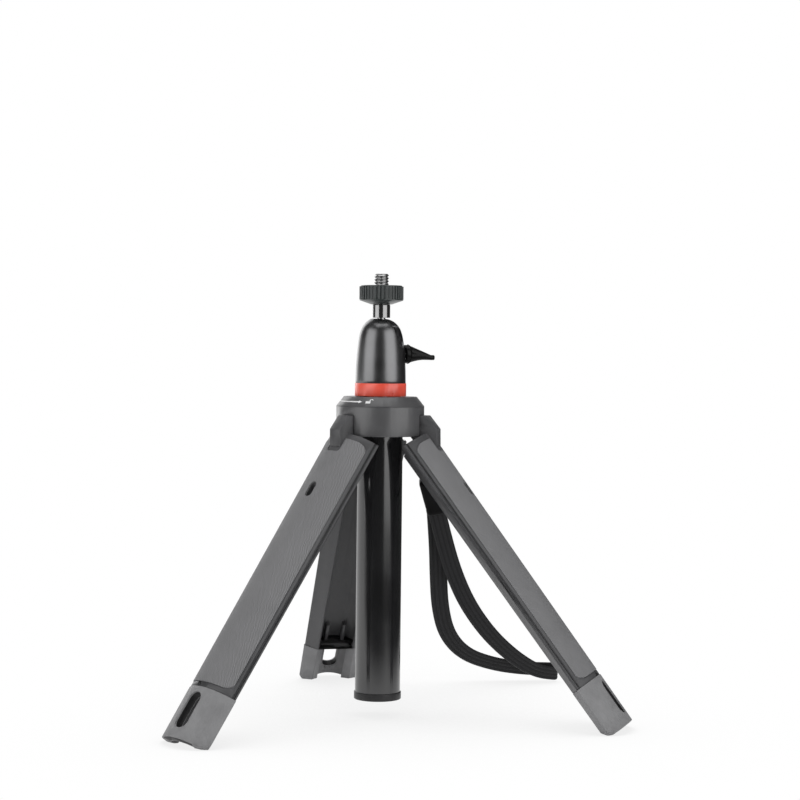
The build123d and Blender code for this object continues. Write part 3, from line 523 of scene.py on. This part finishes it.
def route_curve(name, points, radius=0.0):
    """One smooth open curve with the route's points as its control points."""
    curve = bpy.data.curves.new(name, "CURVE")
    curve.dimensions = "3D"
    line = curve.splines.new("NURBS")
    line.points.add(len(points) - 1)
    for knot, point in zip(line.points, points):
        knot.co = (*point, 1)
    line.order_u = 3
    line.use_endpoint_u = True
    line.resolution_u = 16
    curve.bevel_depth = radius
    curve.bevel_resolution = 4
    curve.use_fill_caps = True
    piece = bpy.data.objects.new(name, curve)
    bpy.context.scene.collection.objects.link(piece)
    return piece


def points_on(curve_piece):
    """Points along a curve, as Blender makes them."""
    bpy.context.view_layer.update()
    mesh = bpy.data.meshes.new_from_object(curve_piece)
    points = [vertex.co.copy() for vertex in mesh.vertices]
    bpy.data.meshes.remove(mesh)
    return points


# Cross-section of the webbing: its rounded edge as a share of the width, how much of the thickness
# the ribs take, and points for each rib
EDGE_SHARE = 0.07
RIB_SHARE = 0.2
RIB_POINTS = 4


def band_outline(width, thickness, ribs):
    """Cross-section of the webbing: flat rounded edges and a few ribs along each face."""
    half = width / 2
    steps = ribs * RIB_POINTS
    top = []
    for step in range(steps + 1):
        share = step / steps
        edge = min(1.0, min(share, 1 - share) / EDGE_SHARE)
        crest = 0.5 - 0.5 * cos(2 * pi * share * ribs)
        height = thickness / 2 * sqrt(max(0.0, 1 - (1 - edge) ** 2)) * (1 - RIB_SHARE + RIB_SHARE * crest)
        top.append((-half + width * share, height))
    return top + [(x, -y) for x, y in reversed(top[1:-1])]


def band(name, points, first_side, width, thickness, ribs, material):
    """Webbing swept along points, with its width kept in the strap's own plane."""
    outline = band_outline(width * MM, thickness * MM, ribs)
    count = len(outline)
    side = first_side
    vertices, travelled = [], [0.0]
    for place, point in enumerate(points):
        before = points[max(place - 1, 0)]
        after = points[min(place + 1, len(points) - 1)]
        heading = (after - before).normalized()
        side = (side - heading * side.dot(heading)).normalized()
        up = heading.cross(side)
        vertices += [point + side * x + up * y for x, y in outline]
        if place:
            travelled.append(travelled[-1] + (point - before).length)
    mesh = mesh_of(name, vertices, skin(len(points), count))
    layer = mesh.uv_layers.new(name="band")
    for loop in mesh.loops:
        ring, k = divmod(loop.vertex_index, count)
        layer.data[loop.index].uv = (travelled[ring], outline[k][0] / (width * MM) + 0.5)
    piece = new_object(name, mesh, material)
    shape = bmesh.new()
    shape.from_mesh(mesh)
    bmesh.ops.recalc_face_normals(shape, faces=shape.faces)
    shape.to_mesh(mesh)
    shape.free()
    smooth(piece, 50)
    return piece


def sleeve_mesh(name):
    """Moulded sleeve: a rounded block with a raised collar at each mouth."""
    front = strap_axes()[2]
    top = on_strap(*SLEEVE_TOP, -FOLD_R)
    bottom = on_strap(*SLEEVE_BOTTOM, -FOLD_R)
    axis = (top - bottom).normalized()
    side = axis.cross(front).normalized()
    length = (top - bottom).length
    vertices = []
    for share, size in SLEEVE_STATIONS:
        centre = bottom + axis * (length * share)
        for k in range(SLEEVE_CORNERS):
            angle = 2 * pi * k / SLEEVE_CORNERS
            x = copysign(abs(cos(angle)) ** SLEEVE_SQUARENESS[0], cos(angle))
            y = copysign(abs(sin(angle)) ** SLEEVE_SQUARENESS[1], sin(angle))
            vertices.append(centre + side * (x * size * SLEEVE_WIDTH / 2 * MM)
                            + front * (y * size * SLEEVE_THICKNESS / 2 * MM))
    return outward(mesh_of(name, vertices, skin(len(SLEEVE_STATIONS), SLEEVE_CORNERS)))


class TripodStrapSettings(bpy.types.PropertyGroup):
    """Sizes and colour of the wrist strap."""

    width: bpy.props.FloatProperty(
        name="Webbing width", description="Width of the webbing", default=WEBBING_WIDTH * MM, unit="LENGTH")
    thickness: bpy.props.FloatProperty(
        name="Webbing thickness", description="Thickness of the webbing", default=WEBBING_THICKNESS * MM,
        unit="LENGTH")
    ribs: bpy.props.IntProperty(name="Ribs", description="Ribs along the webbing", default=4, min=1)
    cord: bpy.props.FloatProperty(
        name="Cord", description="Diameter of the thin cord", default=1.8 * MM, unit="LENGTH")
    colour: bpy.props.FloatVectorProperty(
        name="Colour", description="Colour of the strap", default=(0.013, 0.013, 0.014), subtype="COLOR")


class TRIPOD_OT_strap(bpy.types.Operator):
    """Build the webbing loop, its sleeve and the thin cord"""

    bl_idname = "tripod.strap"
    bl_label = "Wrist strap"

    def execute(self, context):
        settings = context.scene.tripod_strap
        colour = tuple(settings.colour)
        front = [on_strap(a, b, 0) for a, b in FRONT_RUN]
        back = [on_strap(a, b, -2 * FOLD_R) for a, b in reversed(BACK_RUN)]
        tip = FRONT_RUN[-1][1]
        fold = [on_strap(TIP_REACH, tip, 0), on_strap(TIP_REACH, tip, -2 * FOLD_R)]
        guide = route_curve("webbing_line", front + fold + back)
        points = points_on(guide)
        bpy.data.objects.remove(guide)
        first = (points[1] - points[0]).normalized()
        webbing = band("wrist_webbing", points, strap_axes()[2].cross(first), settings.width / MM,
                       settings.thickness / MM, settings.ribs,
                       ribbed_webbing("webbing", colour, settings.ribs))
        settle(webbing, "right_leg", "strap_webbing", "strap_webbing")

        sleeve = new_object("strap_slider_sleeve", sleeve_mesh("strap_slider_sleeve"),
                            gloss_lacquer("sleeve_gloss", tint(colour, 0.15), 0.34, 0.1))
        smooth(sleeve, 50)
        settle(sleeve, "right_leg", "strap_sleeve", "strap_sleeve")

        cord = route_curve("strap_thin_cord", [mm(*point) for point in CORD_ROUTE], settings.cord / 2)
        paint(cord, braided_cord("cord_braid", colour))
        settle(cord, "right_leg", "strap_cord", "strap_cord")
        line = route_curve("cord_line", [mm(*point) for point in CORD_ROUTE])
        cord_points = points_on(line)
        bpy.data.objects.remove(line)

        repaint_node("strap_knot", braided_cord("knot_braid", colour))
        return {"FINISHED"}


# Colours


class TripodFinishSettings(bpy.types.PropertyGroup):
    """Colours of the plastic, rubber and metal pieces."""

    hub: bpy.props.FloatVectorProperty(
        name="Hub", description="Hub and lock ring", default=(0.085, 0.085, 0.088), subtype="COLOR")
    leg: bpy.props.FloatVectorProperty(
        name="Leg shell", description="Leg shells", default=(0.075, 0.075, 0.078), subtype="COLOR")
    grip: bpy.props.FloatVectorProperty(
        name="Grip pad", description="Rubber pads on the legs", default=(0.2, 0.2, 0.205), subtype="COLOR")
    foot: bpy.props.FloatVectorProperty(
        name="Foot", description="Rubber feet", default=(0.235, 0.235, 0.24), subtype="COLOR")
    head: bpy.props.FloatVectorProperty(
        name="Head", description="Ball housing and lever", default=(0.19, 0.19, 0.194), subtype="COLOR")
    neck: bpy.props.FloatVectorProperty(
        name="Neck", description="Polished neck", default=(0.3, 0.3, 0.3), subtype="COLOR")
    ring: bpy.props.FloatVectorProperty(
        name="Ring", description="Coloured ring", default=(1.0, 0.1, 0.058), subtype="COLOR")
    tube: bpy.props.FloatVectorProperty(
        name="Tube", description="Outer tube", default=(0.009, 0.009, 0.01), subtype="COLOR")


# Head

# The camera stud, in millimetres: standard thread, and its shank as radius and height
STUD_R = 3.175
STUD_TOP = 5.0
STUD_PITCH = 1.27
STUD_THREAD_DEPTH = 0.6
STUD_LEAD_IN = 0.5
STUD_ROWS = 90
STUD_SHANK = [(0.0, -11.75), (2.4, -11.75), (2.4, -8.1), (2.9, -8.1), (2.9, 0.0)]


def stud_profile(share):
    """Profile of the camera stud at a share of the turn: shank, relief and a right-hand thread."""
    profile = list(STUD_SHANK)
    for row in range(STUD_ROWS + 1):
        z = STUD_TOP * row / STUD_ROWS
        flank = abs(2 * ((z / STUD_PITCH - share) % 1) - 1)
        lead_in = STUD_R - STUD_LEAD_IN + STUD_TOP - z
        profile.append((min(STUD_R - STUD_THREAD_DEPTH * flank, lead_in), z))
    return profile + [(0.0, STUD_TOP)]


class TRIPOD_OT_head(bpy.types.Operator):
    """Finish the ball head, its ring, neck and lever"""

    bl_idname = "tripod.head"
    bl_label = "Ball head"

    def execute(self, context):
        settings = context.scene.tripod_finish
        satin = anodised_metal("head_satin", tuple(settings.head), 0.3)
        housing = soften("ball_housing", "ball_housing_shell", 0.15, satin)
        settle(housing, "head", "head_plastic", "ball_housing")
        lever = soften("clamp_lever", "clamp_lever_wing", 0.3,
                       moulded_plastic("lever_plastic", (0.005, 0.005, 0.005), 0.36, 0.3, 0.004, 0.2))
        settle(lever, "clamp_lever", "head_plastic", "clamp_lever")
        ring = soften("colour_ring", "colour_ring_band", 0.2,
                      gloss_lacquer("ring_red", tuple(settings.ring), 0.32, 0.9, peel_depth=0.0005))
        settle(ring, "head", "red_ring", "colour_ring")
        repaint_node("neck", anodised_metal("neck_polish", tuple(settings.neck), 0.13))
        repaint_node("swivel_ball", turned_metal("ball_turned", (0.12, 0.12, 0.125), 0.25))
        steel = turned_metal("steel_turned", (0.5, 0.5, 0.5), 0.32, 0.6)
        stud = new_object("threaded_stud", lathe("threaded_stud", stud_profile, 64), steel)
        smooth(stud, 30)
        settle(stud, "camera_stud", "steel", "camera_stud")
        for node in ("clamp_screw", "head_pin", "leg_pins", "hub_screws"):
            repaint_node(node, steel)
        rubber = moulded_plastic("wheel_pad_rubber", (0.02, 0.02, 0.02), 0.7, 0.4, 0.02, 0.2)
        repaint_node("wheel_pad", rubber)
        bearing = moulded_plastic("bearing_acetal", (0.6, 0.6, 0.57), 0.4, 0.4, 0.004)
        bushes = [f"friction_bush_{k}" for k in SECTIONS]
        for node in ("ball_seat", "lock_collet", "guide_bush", *bushes):
            repaint_node(node, bearing)
        return {"FINISHED"}


# Thumb wheel

# Height of the ribs' middle in millimetres, and sides of a rib
RIB_MIDDLE = -3.2
RIB_SIDES = 12


class TripodWheelSettings(bpy.types.PropertyGroup):
    """Sizes of the thumb wheel's rim."""

    ribs: bpy.props.IntProperty(name="Ribs", description="Ribs round the rim", default=36, min=3)
    rib_width: bpy.props.FloatProperty(
        name="Rib width", description="Width of one rib", default=1.05 * MM, unit="LENGTH")
    rib_height: bpy.props.FloatProperty(
        name="Rib height", description="Height of the ribs", default=5.5 * MM, unit="LENGTH")
    rim: bpy.props.FloatProperty(
        name="Rim radius", description="Radius over the ribs", default=9.55 * MM, unit="LENGTH")


def ribbed_rim(settings):
    """Node tree that sets round bars in a ring, upright, and joins them to the mesh it is given."""
    tree = bpy.data.node_groups.new("ribbed_rim", "GeometryNodeTree")
    sockets = {}
    for name, kind in (("Geometry", "NodeSocketGeometry"), ("Count", "NodeSocketInt"),
                       ("Rib radius", "NodeSocketFloat"), ("Rib height", "NodeSocketFloat"),
                       ("Ring radius", "NodeSocketFloat"), ("Middle height", "NodeSocketFloat"),
                       ("Material", "NodeSocketMaterial")):
        sockets[name] = tree.interface.new_socket(name, in_out="INPUT", socket_type=kind).identifier
    tree.interface.new_socket("Geometry", in_out="OUTPUT", socket_type="NodeSocketGeometry")
    new, link = tree.nodes.new, tree.links.new
    given = new("NodeGroupInput").outputs
    ring = new("GeometryNodeMeshCircle")
    link(given["Count"], ring.inputs["Vertices"])
    link(given["Ring radius"], ring.inputs["Radius"])
    lift = new("ShaderNodeCombineXYZ")
    link(given["Middle height"], lift.inputs["Z"])
    lower = new("GeometryNodeTransform")
    link(ring.outputs["Mesh"], lower.inputs["Geometry"])
    link(lift.outputs[0], lower.inputs["Translation"])
    bar = new("GeometryNodeMeshCylinder")
    bar.inputs["Vertices"].default_value = RIB_SIDES
    link(given["Rib radius"], bar.inputs["Radius"])
    link(given["Rib height"], bar.inputs["Depth"])
    spread = new("GeometryNodeInstanceOnPoints")
    link(lower.outputs["Geometry"], spread.inputs["Points"])
    link(bar.outputs["Mesh"], spread.inputs["Instance"])
    real = new("GeometryNodeRealizeInstances")
    link(spread.outputs["Instances"], real.inputs["Geometry"])
    joined = new("GeometryNodeJoinGeometry")
    link(given["Geometry"], joined.inputs["Geometry"])
    link(real.outputs["Geometry"], joined.inputs["Geometry"])
    painted = new("GeometryNodeSetMaterial")
    link(joined.outputs["Geometry"], painted.inputs["Geometry"])
    link(given["Material"], painted.inputs["Material"])
    link(painted.outputs["Geometry"], new("NodeGroupOutput").inputs["Geometry"])
    return tree, sockets


# Radius and height in millimetres, with the pocket of the rubber pad in the top
WHEEL_PROFILE = [(3.0, -0.4), (3.4, 0.0), (4.5, 0.0), (4.5, -0.8), (8.3, -0.8), (8.3, 0.0), (8.75, 0.0),
                 (9.0, -0.2), (9.0, -5.95), (9.5, -6.05), (9.5, -6.3), (9.2, -6.5), (4.6, -8.1), (3.0, -8.1)]


class TRIPOD_OT_wheel(bpy.types.Operator):
    """Build the thumb wheel and its ribs"""

    bl_idname = "tripod.wheel"
    bl_label = "Thumb wheel"

    def execute(self, context):
        settings = context.scene.tripod_wheel
        satin = moulded_plastic("wheel_satin", (0.045, 0.052, 0.052), 0.32, 0.3, 0.006, 0.6)
        wheel = new_object("thumb_wheel_rim", lathe("thumb_wheel_rim", lambda share: WHEEL_PROFILE), satin)
        tree, sockets = ribbed_rim(settings)
        ribs = wheel.modifiers.new("ribs", "NODES")
        ribs.node_group = tree
        values = {"Count": settings.ribs, "Rib radius": settings.rib_width / 2,
                  "Rib height": settings.rib_height, "Ring radius": settings.rim - settings.rib_width / 2,
                  "Middle height": RIB_MIDDLE * MM, "Material": satin}
        for name, value in values.items():
            ribs[sockets[name]] = value
        baked(wheel)
        smooth(wheel, 35)
        settle(wheel, "thumb_wheel", "head_plastic", "thumb_wheel")
        return {"FINISHED"}


# Hub


class TRIPOD_OT_hub(bpy.types.Operator):
    """Finish the hub and its lock ring"""

    bl_idname = "tripod.hub"
    bl_label = "Hub"

    def execute(self, context):
        settings = context.scene.tripod_finish
        plastic = moulded_plastic("hub_plastic", tuple(settings.hub), 0.34, 0.35, 0.008, 0.7)
        hub = soften("hub_body", "hub_shell", 0.03, plastic)
        settle(hub, "hub", "hub_plastic", "hub_body")
        ring = soften("lock_ring", "lock_ring_cap", 0.03, plastic)
        settle(ring, "lock_ring", "hub_plastic", "lock_ring")
        repaint_node("hub_plate", plastic)
        return {"FINISHED"}


# Lock sign

# Flat outlines and the two levels of the print, in millimetres, from the arrow's tip
ARROW_STEPS = 14
ARROW_TAIL_HALF = 0.1
ARROW_GROWTH = 0.22
ARROW_NECK = 1.6
ARROW_HEAD = [(-1.7, -0.75), (-0.1, 0.0), (-1.7, 0.75)]
PADLOCK_BODY = [(1.6, -0.8), (3.7, -0.8), (3.7, 0.4), (1.6, 0.4)]
SHACKLE_LEG = [(3.3, 0.4), (3.62, 0.4), (3.62, 0.86), (3.3, 0.86)]
SHACKLE_MIDDLE = (4.1, 0.85)
SHACKLE_OUTSIDE = (0.8, 0.7)
SHACKLE_INSIDE = (0.48, 0.4)
SHACKLE_STEPS = 8
PRINT_LEVELS = (0.02, 0.06)


def cone_point(azimuth, share, lift):
    """Point on the lock ring's slope: share 0 at its top edge and 1 at its lower edge."""
    radius = LOCK_R - LOCK_CHAMFER * (1 - share)
    height = LOCK_TOP_Z - LOCK_DROP * share
    slope = atan2(LOCK_CHAMFER, LOCK_DROP)
    radius += lift * cos(slope)
    height += lift * sin(slope)
    return mm(radius * cos(azimuth), radius * sin(azimuth), height)


def wrapped_sign(name, outlines, azimuth, share, material):
    """Flat outlines in millimetres, wrapped on the lock ring's slope and made a thin print."""
    slope_length = sqrt(LOCK_CHAMFER ** 2 + LOCK_DROP ** 2)
    middle_r = LOCK_R - LOCK_CHAMFER * (1 - share)
    vertices, faces = [], []
    for outline in outlines:
        for level in PRINT_LEVELS:
            vertices += [cone_point(azimuth + x / middle_r, share - y / slope_length, level)
                         for x, y in outline]
    base = 0
    for outline in outlines:
        count = len(outline)
        faces.append(tuple(range(base + count, base + 2 * count)))
        faces.append(tuple(reversed(range(base, base + count))))
        for k in range(count):
            a, b = base + k, base + (k + 1) % count
            faces.append((a, b, b + count, a + count))
        base += 2 * count
    return new_object(name, outward(mesh_of(name, vertices, faces)), material)


def arrow(length):
    """Outlines of an arrow whose shaft grows towards its head."""
    outlines = []
    for k in range(ARROW_STEPS):
        (start, low), (end, high) = [
            (-length + (length - ARROW_NECK) * step / ARROW_STEPS,
             ARROW_TAIL_HALF + ARROW_GROWTH * step / ARROW_STEPS) for step in (k, k + 1)]
        outlines.append([(start, -low), (end, -high), (end, high), (start, low)])
    return outlines + [ARROW_HEAD]


def open_padlock():
    """Outlines of a padlock whose shackle stands beside its body."""
    outside, inside = [
        [(SHACKLE_MIDDLE[0] + size[0] * cos(pi * k / SHACKLE_STEPS),
          SHACKLE_MIDDLE[1] + size[1] * sin(pi * k / SHACKLE_STEPS)) for k in range(SHACKLE_STEPS + 1)]
        for size in (SHACKLE_OUTSIDE, SHACKLE_INSIDE)]
    arc = [[outside[k], outside[k + 1], inside[k + 1], inside[k]] for k in range(SHACKLE_STEPS)]
    return [PADLOCK_BODY, *arc, SHACKLE_LEG]


class TripodSignSettings(bpy.types.PropertyGroup):
    """Place and size of the lock sign."""

    azimuth: bpy.props.FloatProperty(
        name="Direction", description="Direction of the arrow's tip", default=radians(-129.3),
        subtype="ANGLE")
    arrow: bpy.props.FloatProperty(
        name="Arrow", description="Length of the arrow", default=19.0 * MM, unit="LENGTH")


class TRIPOD_OT_sign(bpy.types.Operator):
    """Print the turning arrow and the open padlock on the lock ring"""

    bl_idname = "tripod.sign"
    bl_label = "Lock sign"

    def execute(self, context):
        settings = context.scene.tripod_sign
        white = moulded_plastic("print_white", (0.85, 0.85, 0.85), 0.5, 0.3, 0.002)
        outlines = arrow(settings.arrow / MM) + open_padlock()
        sign = wrapped_sign("lock_sign", outlines, settings.azimuth, 0.5, white)
        settle(sign, "lock_ring", "hub_plastic")
        return {"FINISHED"}


# Legs


class TRIPOD_OT_legs(bpy.types.Operator):
    """Finish the leg shells, their grip pads and feet"""

    bl_idname = "tripod.legs"
    bl_label = "Legs"

    def execute(self, context):
        settings = context.scene.tripod_finish
        plastic = moulded_plastic("leg_plastic", tuple(settings.leg), 0.42, 0.35, 0.01, 0.4)
        for leg in LEGS:
            shell = soften(f"{leg}_leg_shell", f"{leg}_leg_trough", 0.3, plastic)
            settle(shell, f"{leg}_leg", "leg_plastic", f"{leg}_leg_shell")
            repaint_node(f"{leg}_leg_pad", grip_grain(f"{leg}_grip_grain", tuple(settings.grip), leg))
            foot = soften(f"{leg}_leg_foot", f"{leg}_rubber_foot", 0.35,
                          foot_rubber(f"{leg}_foot_rubber", tuple(settings.foot), leg))
            settle(foot, f"{leg}_leg", "foot_rubber", f"{leg}_leg_foot")
        return {"FINISHED"}


# Column


class TRIPOD_OT_column(bpy.types.Operator):
    """Finish the outer tube, the inner sections and the end cap"""

    bl_idname = "tripod.column"
    bl_label = "Column"

    def execute(self, context):
        settings = context.scene.tripod_finish
        repaint_node("outer_tube", gloss_lacquer("tube_lacquer", tuple(settings.tube), 0.16, 1.0, 0.2))
        cap = soften("tube_end_cap", "tube_end_cap_rim", 0.1,
                     moulded_plastic("cap_plastic", (0.02, 0.02, 0.021), 0.4), clamp=True)
        settle(cap, "outer_tube", "black_plastic", "tube_end_cap")
        drawn = turned_metal("section_satin", (0.62, 0.62, 0.63), 0.3)
        for k in SECTIONS:
            repaint_node(f"column_section_{k}", drawn)
        repaint_node("head_plug", drawn)
        return {"FINISHED"}


# Stage

# Light of the world: in reflections away from the background, and on everything else
ROOM_LEVEL = 0.06
FILL_LEVEL = 0.14

# The floor's white reflection starts inside this radius, and things this near shade it, in metres
SHADOW_REACH = 0.22
SHADOW_DEPTH = 0.12
FLOOR_GLOW = 0.84
FLOOR_HALF = 4.0

# The photograph's frame in pixels, and the camera's sensor in millimetres
FRAME_SIZE = 800
SENSOR_WIDTH = 36.0

# Name, degrees round from the camera, height, distance, width and height of the lamp, and power
LAMPS = (
    ("softbox_left", -58, 0.12, 0.9, 0.9, 1.1, 5.0),
    ("softbox_right", 50, 0.12, 0.9, 0.95, 1.1, 5.6),
    ("rim_left", -150, 0.25, 0.9, 0.35, 0.8, 1.2),
)
LAMP_TARGET = (0, 0, -0.09)


class TripodStageSettings(bpy.types.PropertyGroup):
    """Place of the camera."""

    azimuth: bpy.props.FloatProperty(
        name="Camera side", description="Direction of the camera", default=radians(-13.1), subtype="ANGLE")
    distance: bpy.props.FloatProperty(
        name="Distance", description="Camera to the column's axis", default=0.9, unit="LENGTH")
    height: bpy.props.FloatProperty(
        name="Height", description="Camera height in the tripod's frame", default=-0.026, unit="LENGTH")
    focal: bpy.props.FloatProperty(
        name="Focal pixels", description="Focal length in pixels of an 800 pixel frame", default=2083.0)
    horizon: bpy.props.FloatProperty(
        name="Horizon", description="Row of the horizon in the frame", default=346.0)
    column: bpy.props.FloatProperty(
        name="Column", description="Pixel column of the tripod's axis", default=380.4)
    roll: bpy.props.FloatProperty(
        name="Roll", description="Camera roll", default=radians(0.6), subtype="ANGLE")


def lamp(name, place, width, power, height=None):
    """Area lamp that looks at the middle of the tripod, square unless it has a height."""
    data = bpy.data.lights.new(name, "AREA")
    data.energy = power
    data.size = width
    if height:
        data.shape = "RECTANGLE"
        data.size_y = height
    light = bpy.data.objects.new(name, data)
    bpy.context.scene.collection.objects.link(light)
    light.location = place
    light.rotation_euler = (Vector(LAMP_TARGET) - Vector(place)).to_track_quat("-Z", "Y").to_euler()


class TRIPOD_OT_stage(bpy.types.Operator):
    """Set up the camera, the lamps, the floor and the background"""

    bl_idname = "tripod.stage"
    bl_label = "Studio"

    def execute(self, context):
        settings = context.scene.tripod_stage
        side = settings.azimuth
        back = Vector((sin(side), -cos(side), 0))
        place = back * settings.distance
        place.z = settings.height
        yaw = atan2(FRAME_SIZE / 2 - settings.column, settings.focal)
        pitch = atan2(FRAME_SIZE / 2 - settings.horizon, settings.focal)
        forward = Matrix.Rotation(-yaw, 3, "Z") @ (-back)
        across = forward.cross(Vector((0, 0, 1))).normalized()
        forward = (Matrix.Rotation(-pitch, 3, across) @ forward).normalized()
        up = across.cross(forward).normalized()
        turn = Matrix((across, up, -forward)).transposed()
        turn = turn @ Matrix.Rotation(settings.roll, 3, "Z")
        data = bpy.data.cameras.new("camera")
        data.sensor_width = SENSOR_WIDTH
        data.lens = SENSOR_WIDTH * settings.focal / FRAME_SIZE
        data.clip_start = 0.01
        data.clip_end = 50
        camera = bpy.data.objects.new("camera", data)
        camera.matrix_world = Matrix.Translation(place) @ turn.to_4x4()
        context.scene.collection.objects.link(camera)
        context.scene.camera = camera

        corners = [(x * FLOOR_HALF, y * FLOOR_HALF, FLOOR_Z * MM)
                   for x, y in ((-1, -1), (1, -1), (1, 1), (-1, 1))]
        floor = new_object("studio_floor", mesh_of("studio_floor", corners, [(0, 1, 2, 3)]),
                           self.floor_material(back))

        for name, angle, rise, distance, width, height, power in LAMPS:
            around = side + radians(angle)
            lamp(name, (sin(around) * distance, -cos(around) * distance, rise), width, power, height)
        lamp("softbox_top", (0.0, 0.0, 0.95), 0.9, 4.0)

        context.scene.world = self.studio_world(back)
        context.scene.view_settings.view_transform = "Standard"
        return {"FINISHED"}

    def studio_world(self, front):
        """White background, with soft even light from it and a dark room behind the camera."""
        world = bpy.data.worlds.new("studio")
        world.use_nodes = True
        nodes = Nodes(world.node_tree)
        rays = nodes.add("ShaderNodeLightPath").outputs
        mirrored = nodes.maths("MAXIMUM", rays["Is Glossy Ray"], rays["Is Transmission Ray"])
        background = Matrix.Rotation(radians(18), 3, "Z") @ -front
        heading = nodes.towards(nodes.add("ShaderNodeTexCoord").outputs["Generated"], background)
        shown = nodes.between(heading, ROOM_LEVEL, 1.0, 0.7, 0.92)
        lit = nodes.shares(mirrored, shown, nodes.maths("SUBTRACT", 1.0, mirrored), FILL_LEVEL)
        level = nodes.maths("MAXIMUM", lit, rays["Is Camera Ray"])
        shine = nodes.add("ShaderNodeBackground", {"Color": (1, 1, 1, 1), "Strength": level})
        nodes.add("ShaderNodeOutputWorld", {"Surface": shine.outputs[0]})
        return world

    def floor_material(self, front):
        """Pale floor: the camera sees the background through it, darker where the tripod keeps light off.

        So what reaches below the floor, as a closed leg does, stays in sight, and lamps light it too. In
        reflections the floor turns to plain white away from the tripod, and dark in front and on one side.
        """
        finish = Finish("floor_pale", Roughness=0.8, Specular_IOR_Level=0.0)
        clouds = finish.noise(finish.place(), 60.0, 2.0)
        finish.wire("Base Color", finish.blend(clouds, (0.9, 0.9, 0.9), (0.92, 0.92, 0.92)))
        rays = finish.add("ShaderNodeLightPath").outputs
        mirrored = finish.maths("MAXIMUM", rays["Is Glossy Ray"], rays["Is Transmission Ray"])
        passed = finish.maths("MAXIMUM", rays["Is Camera Ray"], rays["Is Shadow Ray"])
        flat = finish.place(scale=(1, 1, 0))
        reach = finish.add("ShaderNodeVectorMath", {"Vector": flat}, operation="LENGTH").outputs["Value"]
        away = finish.add("ShaderNodeMapRange", {
            "Value": reach, "From Min": SHADOW_REACH / 2, "From Max": SHADOW_REACH, "To Min": FLOOR_GLOW},
            interpolation_type="SMOOTHSTEP").outputs[0]
        ahead = finish.towards(flat, front)
        aside = finish.towards(flat, Vector((0, 0, 1)).cross(front))
        dark = finish.between(finish.maths("MAXIMUM", ahead, aside), 0.0, 0.94, 0.08, 0.2)
        white = finish.add("ShaderNodeEmission", {"Strength": finish.maths("SUBTRACT", 1.0, dark)})
        mirror_side = finish.mixed(finish.maths("MULTIPLY", mirrored, away), finish.surface.outputs[0],
                                   white.outputs[0])
        openness = finish.add("ShaderNodeAmbientOcclusion", {"Distance": SHADOW_DEPTH}, samples=8)
        shade = finish.between(openness.outputs["AO"], 0.8, 1.0, 0.3, 0.95)
        clear = finish.add("ShaderNodeBsdfTransparent", {"Color": finish.maths("MAXIMUM", shade, away)})
        finish.plug(finish.output.inputs[0], finish.mixed(passed, mirror_side, clear.outputs[0]))
        return finish.material


# Panel and run

STEPS = ("stage", "strap", "head", "wheel", "hub", "sign", "legs", "column")


class TRIPOD_PT_panel(bpy.types.Panel):
    """Lists the steps and their sizes"""

    bl_idname = "TRIPOD_PT_panel"
    bl_label = "Selfie stick tripod"
    bl_space_type = "VIEW_3D"
    bl_region_type = "UI"
    bl_category = "Tripod"

    def draw(self, context):
        layout = self.layout
        for step in STEPS:
            layout.operator(f"tripod.{step}")
        for group in GROUPS:
            settings = getattr(context.scene, group)
            box = layout.box()
            for name in settings.__annotations__:
                box.prop(settings, name)


GROUPS = {
    "tripod_strap": TripodStrapSettings,
    "tripod_finish": TripodFinishSettings,
    "tripod_wheel": TripodWheelSettings,
    "tripod_sign": TripodSignSettings,
    "tripod_stage": TripodStageSettings,
}
CLASSES = (
    *GROUPS.values(), TRIPOD_OT_stage, TRIPOD_OT_strap, TRIPOD_OT_head, TRIPOD_OT_wheel, TRIPOD_OT_hub,
    TRIPOD_OT_sign, TRIPOD_OT_legs, TRIPOD_OT_column, TRIPOD_PT_panel,
)


def register():
    for made in CLASSES:
        bpy.utils.register_class(made)
    for name, group in GROUPS.items():
        setattr(bpy.types.Scene, name, bpy.props.PointerProperty(type=group))


def unregister():
    for name in GROUPS:
        delattr(bpy.types.Scene, name)
    for made in reversed(CLASSES):
        bpy.utils.unregister_class(made)


def main():
    register()
    for step in STEPS:
        getattr(bpy.ops.tripod, step)()


if __name__ == "__main__":
    main()
